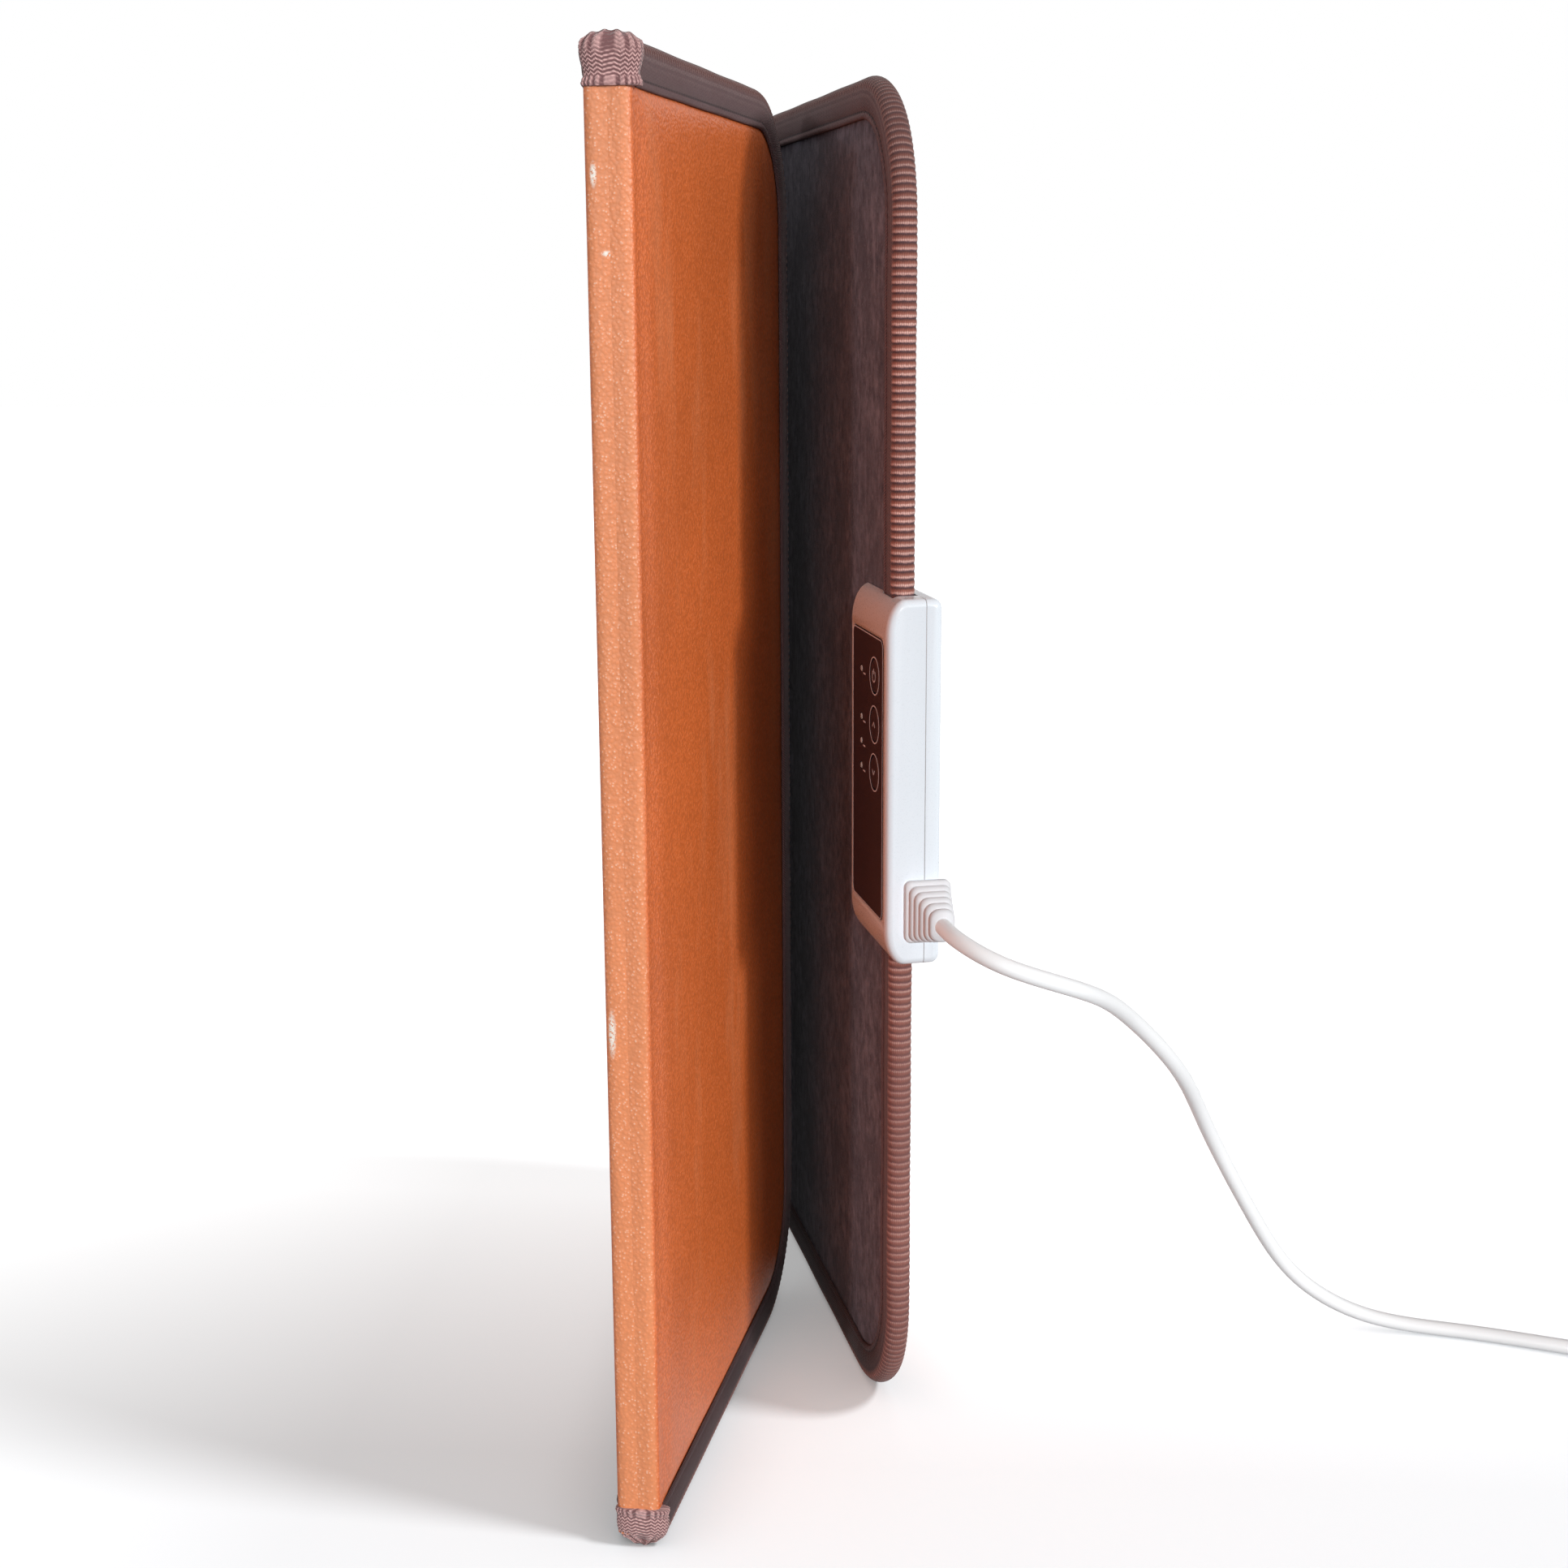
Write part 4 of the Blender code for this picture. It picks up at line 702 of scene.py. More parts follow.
# %% [markdown]
# The strain relief is a soft moulded sleeve. It fills a square hole in the case, has a thick
# collar outside it, and then five square ribs, each a little smaller than the one before, so
# that the cord bends over them and not at one edge. The plug's sleeve is made in the same
# way. Both are lofts: a rounded rectangle carried along an axis while its size follows a list.

# %% Sleeves and plug


def rounded_loop(half_y, half_z, radius, steps=6):
    """Closed loops round rounded rectangles, for arrays of half sizes and radii: at each corner a
    quarter circle about the point that lies one radius inside both sides."""
    angle = np.concatenate([np.linspace(k, k + 1, steps + 1) for k in range(4)]) * math.pi / 2
    half_y, half_z, radius = (np.asarray(x, float)[:, None] for x in (half_y, half_z, radius))
    sign_y, sign_z = np.repeat([1, -1, -1, 1], steps + 1), np.repeat([1, 1, -1, -1], steps + 1)
    y = sign_y * (half_y - radius) + radius * np.cos(angle)
    z = sign_z * (half_z - radius) + radius * np.sin(angle)
    loops = stack(y, z)
    return np.concatenate([loops, loops[:, :1]], axis=1)


def loft(name, place, centre, sections):
    """Rounded rectangles (x, half_y, half_z, radius) skinned along X, each end closed to its middle."""
    table = np.array(sections) * MM
    table = np.vstack([table[:1] * [1, 0, 0, 0], table, table[-1:] * [1, 0, 0, 0]])
    loops = rounded_loop(*table.T[1:])
    grid = stack(table[:, :1], loops[..., 0] + centre[0], loops[..., 1] + centre[1])
    return grid_piece(name, in_row(place, grid), closed=True, smooth=38.0)


def ribbed_sections():
    """The sleeve's sections in mm: flange, neck, collar, then ribs that shrink towards the cord."""
    rows = [
        (6.3, 3.0, 8.0, 1.0), (8.5, 3.0, 8.0, 1.0), (8.5, 2.9, 5.6, 1.0), (11.3, 3.3, 5.6, 1.0),
        (11.3, 7.7, 10.6, 2.3), (11.5, 8.2, 11.1, 2.5), (11.9, 8.5, 11.35, 2.5), (13.7, 8.5, 11.35, 2.5),
        (14.1, 8.25, 11.1, 2.5), (14.3, 7.8, 10.6, 2.4),
    ]
    ribs, first, last = 5, 14.3, 33.3
    pitch = (last - first) / ribs
    for k in range(ribs):
        share = k / (ribs - 1)
        y, z, corner = 7.75 - 3.0 * share, 10.25 - 4.25 * share, 3.0 + 0.8 * share
        at = first + k * pitch
        rows += [
            (at + 0.3, y - 2.0, z - 2.3, corner - 1.2), (at + 0.28 * pitch, y - 2.0, z - 2.3, corner - 1.2),
            (at + 0.34 * pitch, y - 0.5, z - 0.5, corner), (at + 0.42 * pitch, y - 0.12, z - 0.12, corner),
            (at + 0.50 * pitch, y, z, corner), (at + 0.78 * pitch, y - 0.15, z - 0.15, corner),
            (at + 0.90 * pitch, y - 0.45, z - 0.45, corner), (at + pitch, y - 1.0, z - 1.0, corner - 0.2),
        ]
    return rows


sleeve = loft("cord_sleeve", CASE, CORD_HOLE[1:], ribbed_sections())
dress(sleeve, "sleeve_vinyl_shaded", "right_wing", ("strain_relief",))

plug_rows = [(0.0, 4.0, 4.0, 3.0), (0.3, 4.5, 4.5, 3.2), (0.6, 4.6, 4.6, 3.2)]
for k in range(3):
    at, wide = 1.2 + 4.6 * k, 5.0 + 0.8 * k
    plug_rows += [
        (at + further_on, wide + more, wide + more, corner)
        for further_on, more, corner in (
            (0.0, 0.0, 3.4), (0.4, 0.25, 3.5), (2.2, 0.2, 3.5),
            (2.7, -0.2, 3.4), (2.9, -1.2, 3.0), (4.2, -1.0, 3.0),
        )
    ]
plug_rows += [
    (15.0, 7.4, 6.7, 3.8), (16.5, 8.9, 7.6, 4.2), (18.5, 10.4, 8.5, 4.4), (21.0, 11.5, 8.9, 4.4),
    (25.0, 12.1, 9.0, 4.4), (30.0, 12.2, 9.0, 4.4), (36.0, 11.9, 8.8, 4.2), (39.0, 11.8, 8.8, 4.2),
    (40.0, 12.1, 8.9, 4.0), (41.5, 12.6, 9.1, 4.0), (45.0, 12.6, 9.1, 4.0), (45.7, 12.3, 8.8, 3.7),
    (46.0, 11.8, 8.3, 3.4),
]
plug_start = plug_at + leaving * 0.3 * MM
plug_frame = (plug_start, turned_frame(0, 0, math.degrees(last_angle))[1])
plug = loft("plug_body_moulded", plug_frame, (0.0, 0.0), plug_rows)
dress(plug, "cord_vinyl", "right_wing", ("plug_body",))

# %% [markdown]
# The coil is held by a flat strap round its turns. It is a rounded loop, drawn in the plane
# that cuts the turns and pulled to the strap's width, a little thicker in its middle.

# %% Coil tie
TIE_TURNS = 0.40
TIE_CORNER = 2.2 * MM
TIE_SLACK = {"in": 0.8 * MM, "out": 0.5 * MM, "height": 0.3 * MM}
tie_turns = TIE_TURNS + np.arange(int(COIL_TURNS - TIE_TURNS) + 1)
tie_radii = coil_radius(tie_turns)
tie_angle = COIL_HEADING + math.pi / 2 - 2 * math.pi * TIE_TURNS
inner_u = (tie_radii.min() - CORD / 2 - TIE_SLACK["in"], tie_radii.max() + CORD / 2 + TIE_SLACK["out"])
inner_w = (COIL_LOW - CORD / 2 - TIE_SLACK["height"], COIL_HIGH + CORD / 2 + TIE_SLACK["height"])
tie_mid = ((inner_u[0] + inner_u[1]) / 2, (inner_w[0] + inner_w[1]) / 2)
half_u, half_w = (inner_u[1] - inner_u[0]) / 2, (inner_w[1] - inner_w[0]) / 2
# the strap's own section: how far sideways, and how far out from the turns
side_step, grow = np.array([
    (-4.3, 0.1), (-4.5, 0.3), (-4.5, 0.6), (-4.3, 0.8), (0.0, 0.9), (4.3, 0.8), (4.5, 0.6), (4.5, 0.3),
    (4.3, 0.1), (0.0, 0.05), (-4.3, 0.1),
]).T * MM
loops = rounded_loop(half_u + grow, half_w + grow, TIE_CORNER + grow, 5)
radial = np.array([math.cos(tie_angle), math.sin(tie_angle)])
sideways = np.array([-radial[1], radial[0]])
u, w = loops[..., 0] + tie_mid[0], loops[..., 1] + tie_mid[1]
plan = COIL_CENTRE + u[..., None] * radial + side_step[:, None, None] * sideways
tie = grid_piece("coil_tie_strap", np.concatenate([plan, w[..., None]], -1), closed=True, smooth=50.0)
dress(tie, "black_strap", "right_wing", ("cord_tie",))

# %% [markdown]
# Leather, felt and tape meet at two kinds of edge. At a bound edge the leather is drawn in
# under the tape's inner seam, and the padding pushes it up beside the seam, so the cover is
# crowned like a very thin cushion. At a fold it runs on round the corner to the middle of the
# spine, where a crease is pressed. Each wing's cover is therefore one sheet: its section in
# plan is a straight run, a small arc at the fold and half the spine, and its rows follow the
# panel's rounded corners.

# %% Sheets that bend round a fold
FREE_CORNER = 50 * MM
BEND = 1.6 * MM
SEAM = 14 * MM  # from the edge to the tape's seam
PANEL_STEP, NEAR_STEP, SPINE_STEP = 3.2 * MM, 1.1 * MM, 0.8 * MM
NEAR_FOLD = 12 * MM


def plan_section(fold, into_panel, into_spine, far, near_end):
    """A section in plan round a fold: straight along the panel, an arc, straight along the spine.
    Gives the points, their outward normals, and the distance from the fold along the sheet,
    below zero on the spine."""
    p, d, s = np.asarray(fold)[:2], np.asarray(into_panel)[:2], np.asarray(into_spine)[:2]
    tangent = BEND / math.tan(math.acos(float(d @ s)) / 2)
    out_d, out_s = -(s - (s @ d) * d), -(d - (d @ s) * s)
    out_d, out_s = out_d / np.linalg.norm(out_d), out_s / np.linalg.norm(out_s)
    centre = p + d * tangent - out_d * BEND
    run = [even_points(far, NEAR_FOLD, PANEL_STEP)[:-1], even_points(NEAR_FOLD, tangent, NEAR_STEP)]
    run = np.concatenate(run)
    share = np.linspace(0, 1, 8)[1:-1, None]
    turn = math.acos(float(np.clip(out_d @ out_s, -1, 1)))
    arc_normal = (np.sin((1 - share) * turn) * out_d + np.sin(share * turn) * out_s) / math.sin(turn)
    back = even_points(tangent, near_end, SPINE_STEP)
    points = [p + run[:, None] * d, centre + arc_normal * BEND, p + back[:, None] * s]
    normals = [np.repeat(out_d[None], len(run), 0), arc_normal, np.repeat(out_s[None], len(back), 0)]
    distance = [run, tangent * (1 - 2 * share[:, 0]), -back]
    return np.vstack(points), np.vstack(normals), np.concatenate(distance)


def corner_rows(rows, edge_distance, inset):
    """Heights of a column whose distance to the free edge is given: the middle rows keep
    their height, and those in the corner zones are squeezed into the corner's arc."""
    reach = FREE_CORNER - inset
    into = np.clip(FREE_CORNER - edge_distance, 0.0, 0.985 * reach)
    low = FREE_CORNER - np.sqrt(np.maximum(reach**2 - into**2, 0.0))
    squeeze = (FREE_CORNER - low) / reach
    z, s = rows[:, None], squeeze[None, :]
    under, over = FREE_CORNER - (FREE_CORNER - z) * s, HEIGHT - FREE_CORNER + (z - HEIGHT + FREE_CORNER) * s
    return np.where(z < FREE_CORNER, under, np.where(z > HEIGHT - FREE_CORNER, over, z))


def edge_margin(a, z, width, corner):
    """Distance of a point from the panel's bound outline: straight edges, or the corner's arc."""
    from_edge = np.minimum(np.minimum(z, HEIGHT - z), width - a)
    if not corner:
        return np.minimum(z, HEIGHT - z) + 0 * a
    da = a - (width - FREE_CORNER)
    dz = np.maximum(FREE_CORNER - z, z - (HEIGHT - FREE_CORNER))
    in_corner = (da > 0) & (dz > 0)
    return np.where(in_corner, FREE_CORNER - np.hypot(da, dz), from_edge)


def panel_rows(inset):
    """Heights of the rows: close together near the tape, where the cover curves, and wide apart."""
    under_tape, curved = 13 * MM, 30 * MM
    fine = [even_points(inset, under_tape, 3 * MM)[:-1], even_points(under_tape, curved, 1.4 * MM)[:-1]]
    fine, coarse = np.concatenate(fine), even_points(curved, HEIGHT - curved, 5.0 * MM)
    return np.concatenate([fine, coarse, (HEIGHT - fine)[::-1]])


def crown(margin, rise, dip):
    """How far padding lifts a cover at some distance inside the outline: drawn in under the
    seam, then quickly up to its full height."""
    inside = np.maximum(margin - SEAM, 0.0)
    return rise * (1 - np.exp(-inside / (5.5 * MM))) - dip * np.exp(-inside / (2.2 * MM))


LEATHER_WALL = 0.9 * MM
PADDING, SEAM_DIP = 1.35 * MM, 0.55 * MM
MAP_SHIFT = {"left": 0.6, "right": 1.2, "back": 1.8}  # each cover reads another part of the pattern
EDGE_INSET = 4.5 * MM
NOTCH = (36 * MM, 196 * MM, 314 * MM)  # the controller's cut-out: its depth, foot and top


def crease(to_middle):
    """The line pressed into the middle of a spine, where its two halves meet. Past the middle a
    half runs on a little underneath the other."""
    under = -0.15 * MM * (to_middle < -0.05 * MM)
    pressed = 0.12 * MM * np.exp(-((to_middle / (0.7 * MM)) ** 2))
    return 0.15 * MM - pressed + 0.25 * MM * ease(to_middle, 0, 5 * MM) + under


def spine_lift(distance, z, middle):
    """How far a spine's leather stands off its flat face: the crease, and a crumple beside it."""
    on_spine, to_middle = ease(-distance, 0.5 * MM, 3 * MM), middle - np.abs(distance)
    crumple = waves(distance * 3, z, 34 * MM, 0.22 * MM, 5) * ease(to_middle, 0, 3 * MM)
    return on_spine * (crease(to_middle) + crumple)


def outside_notch(columns, rows, width, notch):
    """The quads of a panel's grid that are kept: those outside the controller's cut-out."""
    depth, foot, top = notch
    mid_a, mid_z = (columns[:-1] + columns[1:]) / 2, (rows[:-1] + rows[1:]) / 2
    return ~((mid_a[None] > width - depth) & (mid_z[:, None] > foot) & (mid_z[:, None] < top))


def bent_leather(name, node, fold, section, z, lift, shift, facing, bodies, keep=None):
    """A leather sheet along a section round a fold. bodies gives two bodies, each with the direction
    in which it lies from the fold; they are not used."""
    points, normals, distance = section
    plan = points + normals * lift[..., None]
    grid, uv = stack(plan[..., 0], plan[..., 1], z), stack(distance, z + shift)
    made = sheet_piece(name, grid, LEATHER_WALL, facing, uv, keep)
    dress(made, "orange_leather", None, (node,))
    start, end = (fold[:2] + toward[:2] * BEND for _, toward in bodies)
    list(start)
    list(end)
    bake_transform(made)
    return made


def wing_leather(side, place, into_panel, into_spine, spine_width, width, notch=None):
    """One wing's leather, from its free edge round the fold to the middle of the spine."""
    fold, middle = place[0], spine_width / 2
    section = plan_section(fold, into_panel, into_spine, SETBACK + width - EDGE_INSET, middle)
    distance, rows = section[2], panel_rows(EDGE_INSET)
    a = distance - SETBACK
    z = corner_rows(rows, np.where(a > 0, width - a, width), EDGE_INSET)
    onto_panel = ease(a, -2 * MM, 12 * MM)
    lift = crown(edge_margin(a, z, width, True), PADDING, SEAM_DIP) * onto_panel
    lift = lift + waves(distance, z, 90 * MM, 0.16 * MM, 3) * onto_panel
    lift = lift + spine_lift(distance, z, middle)
    made = bent_leather(
        f"{side}_wing_leather", f"{side}_leather_cover", fold, section, z, lift, MAP_SHIFT[side],
        (*section[1][0], 0), ((f"{side}_spine", into_spine), (f"{side}_wing", into_panel)),
        outside_notch(a, rows, width, notch) if notch else None,
    )


wing_leather("left", WING_L, -WING_L[1][0], SPINE_L[1][0], LEFT_SPINE, LEFT_WIDTH)
wing_leather("right", WING_R, WING_R[1][0], -SPINE_R[1][0], RIGHT_SPINE, RIGHT_WIDTH, NOTCH)

# %% [markdown]
# The back panel's leather has a fold on each side. Its cover is a plain crowned sheet, and two
# narrow strips carry it round the folds to the creases of the spines. A strip is the same
# kind of section as above, only short.

# %% The back panel's leather and its fold strips


def back_leather():
    """The back panel's cover: a grid over its width and height, crowned under the two tapes."""
    near, middle = even_points(2.4 * MM, SEAM, 1.5 * MM), even_points(SEAM, BACK_WIDTH - SEAM, 4.5 * MM)
    columns = np.concatenate([near[:-1], middle, (BACK_WIDTH - near)[::-1][1:]])
    z, a = np.meshgrid(panel_rows(EDGE_INSET), columns, indexing="ij")
    side = ease(a, -2 * MM, 12 * MM) * ease(BACK_WIDTH - a, -2 * MM, 12 * MM)
    lift = crown(np.minimum(z, HEIGHT - z), PADDING, SEAM_DIP) * side
    lift = lift + waves(a, z, 90 * MM, 0.16 * MM, 4) * side
    grid, uv = in_row(BACK, stack(SETBACK + a, lift, z)), stack(a, z + MAP_SHIFT["back"])
    made = sheet_piece("back_panel_leather", grid, LEATHER_WALL, (0, 1, 0), uv)
    dress(made, "orange_leather", "back_panel", ("back_leather_cover",))


def fold_strip(side, place, into_panel, into_spine, spine_width, shift):
    """A strip of leather from the back panel round its fold to the middle of the spine."""
    fold, middle = place[0], spine_width / 2
    section = plan_section(fold, into_panel, into_spine, SETBACK + 2.35 * MM, middle + 0.8 * MM)
    distance, rows = section[2], panel_rows(EDGE_INSET)
    z = np.broadcast_to(rows[:, None], (len(rows), len(distance)))
    lift = spine_lift(distance, z, middle)
    bent_leather(
        f"{side}_back_fold_leather", f"{side}_spine_leather", fold, section, z, lift, shift,
        (*section[1][-1], 0), (("back_panel", into_panel), (f"{side}_spine", into_spine)),
    )


back_leather()
fold_strip("left", SPINE_L, BACK[1][0], -SPINE_L[1][0], LEFT_SPINE, 0.0)
fold_strip("right", SPINE_R, -BACK[1][0], SPINE_R[1][0], RIGHT_SPINE, 2.4)

# %% [markdown]
# The felt linings are flat, since the board lies right behind them. The right wing's has the
# cut-out where the controller is clipped on.

# %% Felt linings
FELT_WALL, WEB_WALL = 0.9 * MM, 0.5 * MM
FELT_INSET, FELT_STEP = 2.2 * MM, 4.0 * MM  # the inset is from the fold


def felt_lining(side, place, direction, width, body, corner, notch=None):
    """A panel's felt: a grid over its width and height on the felt's face, with a fine unevenness."""
    last = width - EDGE_INSET if corner else width - FELT_INSET
    columns = even_points(FELT_INSET, last, FELT_STEP)
    if notch:
        split = width - notch[0]
        columns = [even_points(FELT_INSET, split, FELT_STEP), even_points(split, last, FELT_STEP)[1:]]
        columns = np.concatenate(columns)
    rows = np.unique(np.concatenate([panel_rows(EDGE_INSET), (notch or (0, FREE_CORNER))[1:]]))
    if corner:
        z = corner_rows(rows, width - columns, EDGE_INSET)
    else:
        z = np.broadcast_to(rows[:, None], (len(rows), len(columns)))
    a = np.broadcast_to(columns, z.shape)
    sink = 0.45 * MM * np.exp(-np.maximum(edge_margin(a, z, width, corner) - SEAM, 0) / (2.5 * MM))
    depth = -THICK + sink + np.abs(waves(a, z, 70 * MM, 0.10 * MM, 8))
    grid = in_row(place, stack(direction * (SETBACK + a), depth, z))
    keep = outside_notch(columns, rows, width, notch) if notch else None
    made = sheet_piece(f"{side}_felt", grid, FELT_WALL, -place[1][1], stack(a, z), keep)
    dress(made, "grey_felt", body, (f"{side}_felt_lining",))


felt_lining("left", WING_L, -1, LEFT_WIDTH, "left_wing", True)
felt_lining("back", BACK, 1, BACK_WIDTH, "back_panel", False)
felt_lining("right", WING_R, 1, RIGHT_WIDTH, "right_wing", True, NOTCH)

# %% [markdown]
# The tape is folded over the edge and sewn through. Its section starts at the inner edge on
# the felt's side, with a small rolled ridge and the groove that the stitches pull, swells a
# little, goes round the panel's free edge as half an ellipse, and does the same on the
# leather's side. This section is carried along the panel's outline. While it travels, ribs
# rise and fall across it: highest round the free edge, where the tape is stretched, and low
# on the faces. In the round corners the faces also pucker into small pleats.

# %% Tape bindings
TAPE = 14.5 * MM
HALF_TAPE = THICK / 2 + 1.1 * MM
EDGE_DEPTH = 3.3 * MM
TAPE_SET = 0.35 * MM  # keeps the ribs inside the panel's outline
FACE_RIB, EDGE_RIB = 0.07 * MM, 0.30 * MM
PLEAT, PLEAT_RISE = 5.1 * MM, 0.16 * MM
FELT_SHARE = 0.42  # of the tape's height, on the back panel's felt side


def tape_section(felt_share):
    """The tape's closed section: U across the panel from its middle, W inwards from its edge,
    the outward normal, the way round the tape, and how strongly ribs show, which is 0 inside.
    felt_share thins it on the felt's side, where two panels lie together when folded."""
    w_face = np.array([14.5, 14.3, 13.6, 12.9, 12.3, 11.9, 11.4, 10.4, 8.4, 6.2, 4.4]) * MM
    relief = np.array([-0.85, -0.10, 0.22, 0.12, -0.30, -0.55, -0.30, 0.06, 0.26, 0.22, 0.08]) * MM
    theta = np.linspace(-math.pi / 2, math.pi / 2, 13)
    felt_half = THICK / 2 + (HALF_TAPE - THICK / 2) * felt_share
    round_u = np.where(theta < 0, felt_half, HALF_TAPE) * np.sin(theta)
    round_w = EDGE_DEPTH * (1 - np.cos(theta))
    u = np.concatenate([-(felt_half + relief * felt_share**2), round_u, (HALF_TAPE + relief)[::-1]])
    w = np.concatenate([w_face, round_w, w_face[::-1]])
    inner = THICK / 2 + 0.12 * MM
    theta = np.linspace(math.pi / 2, -math.pi / 2, 5)
    u_in = np.concatenate([[inner, inner], inner * np.sin(theta), [-inner, -inner]])
    straight = np.array([14.45, 9]) * MM
    w_in = np.concatenate([straight, 1.0 * MM + 3.0 * MM * (1 - np.cos(theta)), straight[::-1]])
    count, blank = len(u), np.zeros(len(u_in))
    du, dw = np.gradient(u), np.gradient(w)
    normal = np.stack([dw, du], -1) / np.hypot(du, dw)[:, None]
    normal = np.vstack([normal, np.zeros((len(u_in), 2))])
    along = length_along(np.stack([u, w], -1))
    along = np.concatenate([along - along[count // 2], blank])
    shown = np.concatenate([np.where(u < -1.5 * MM, felt_share, 1.0), blank])
    return np.concatenate([u, u_in]), np.concatenate([w, w_in]), normal, along, shown


def outline_route(corners, radius, step):
    """An open outline through corners with one radius, as points at even steps."""
    pieces = [np.array(corners[:1], float)]
    for before, at, after in zip(corners, corners[1:], corners[2:]):
        before, at, after = (np.asarray(p, float) for p in (before, at, after))
        d1, d2 = (before - at) / np.linalg.norm(before - at), (after - at) / np.linalg.norm(after - at)
        centre = at + (d1 + d2) * radius
        angle = np.linspace(0, math.pi / 2, 40)[:, None]
        pieces.append(centre - d2 * radius * np.cos(angle) - d1 * radius * np.sin(angle))
    pieces.append(np.array(corners[-1:], float))
    return resampled(np.vstack(pieces), step)


def tape_binding(name, place, direction, corners, body, node, inward_sign, felt_share=1.0):
    """Carry the tape's section along a panel's outline. Ribs follow the running length."""
    step = RIB / 6
    route = outline_route(corners, FREE_CORNER, step)
    s = length_along(route)
    ahead = np.gradient(route, axis=0)
    ahead = ahead / np.linalg.norm(ahead, axis=1)[:, None]
    inward = np.stack([-ahead[:, 1], ahead[:, 0]], -1) * inward_sign
    u, w, normal, along, shown = tape_section(felt_share)
    turning = np.linalg.norm(np.gradient(ahead, axis=0), axis=1) / step
    pleat = ease(turning * FREE_CORNER, 0.3, 0.9)[:, None]
    rib = np.abs(np.sin(math.pi * s / RIB))[:, None] ** 0.7 - 0.6
    near_edge = 1 - ease(np.abs(along), 4.6 * MM, 7.4 * MM)
    lift = rib * (FACE_RIB + EDGE_RIB * near_edge)
    puckers = np.sin(2 * math.pi * s / PLEAT)[:, None] * ease(w, 5 * MM, 12 * MM)
    lift = lift + pleat * puckers * PLEAT_RISE
    lift = lift + waves(s[:, None], along * 0.4, 38 * MM, 0.14 * MM, 11)
    lift = lift * shown
    under_cap = np.exp(-np.minimum(s, s[-1] - s) / (1.5 * MM))[:, None]
    across = (u + normal[:, 0] * lift) * (1 - 0.16 * under_cap)
    depth = w + TAPE_SET + normal[:, 1] * lift
    plan = route[:, None] + inward[:, None] * depth[..., None]
    grid = stack(direction * (SETBACK + plan[..., 0]), -THICK / 2 + across, plan[..., 1])
    grid = np.concatenate([grid, grid[:, :1]], axis=1)
    uv = stack(s[:, None], np.append(along, along[0]))
    rows, columns = grid.shape[:2]
    ends = [list(range(columns - 1)), list(range((rows - 1) * columns, rows * columns - 1))]
    made = grid_piece(name, in_row(place, grid), uv, closed=True, extra=ends, smooth=80.0)
    dress(made, "ribbed_tape", body, (node,))
    print(name, f"{s[-1]:.3f} m of tape,", len(made.data.polygons), "faces")


top, foot = HEIGHT, 0.0
case_foot, case_top = 191 * MM, 319 * MM  # the tape runs 2 mm into the controller
left, back, right = LEFT_WIDTH, BACK_WIDTH, RIGHT_WIDTH
for name, body, node, place, direction, inward_sign, felt_share, corners in (
    ("left_wing_tape", "left_wing", "left_edge_binding", WING_L, -1, -1, 1.0,
     [(0, top), (left, top), (left, foot), (0, foot)]),
    ("back_top_tape", "back_panel", "back_top_binding", BACK, 1, -1, FELT_SHARE, [(0, top), (back, top)]),
    ("back_foot_tape", "back_panel", "back_bottom_binding", BACK, 1, 1, FELT_SHARE,
     [(0, foot), (back, foot)]),
    ("right_upper_tape", "right_wing", "right_edge_binding_upper", WING_R, 1, -1, 1.0,
     [(0, top), (right, top), (right, case_top)]),
    ("right_lower_tape", "right_wing", "right_edge_binding_lower", WING_R, 1, 1, 1.0,
     [(0, foot), (right, foot), (right, case_foot)]),
):
    tape_binding(name, place, direction, corners, body, node, inward_sign, felt_share)

# %% [markdown]
# Where a spine meets the edge, the tape is gathered into a cap, like the end of a sack: a
# short skirt with its edge flared, a tight stitched neck, and a full head that closes in
# folds. Its level lines are rounded rectangles that grow and shrink with the height. At the
# foot the cap is shorter and has no neck, because the heater stands on it.

# %% Spine caps
# in mm: a row's height above the skirt's hem, and how far it stands out at the top and at the foot
CAP_PROFILE = np.array([
    (0.0, 0.2, 0.2), (0.5, 0.45, 0.5), (1.2, 0.4, 0.5), (2.2, 0.0, 0.1), (3.0, -0.28, 0.0), (3.8, -0.32, 0.1),
    (5.0, 0.0, 0.2), (6.4, 0.4, 0.2), (8.0, 0.75, 0.1), (9.6, 0.95, -0.3), (11.2, 0.95, -1.0),
    (12.6, 0.65, -2.0), (13.6, 0.2, -3.0), (14.4, -0.5, -4.1), (15.1, -1.5, -5.2), (15.6, -3.0, -6.4),
    (15.9, -5.2, -7.4), (16.05, -9.0, -9.0),
]) * MM
CAP_ROWS, CAP_COLUMNS = 54, 160
CAP_LEAN = 1.3 * MM  # outwards, along the spine


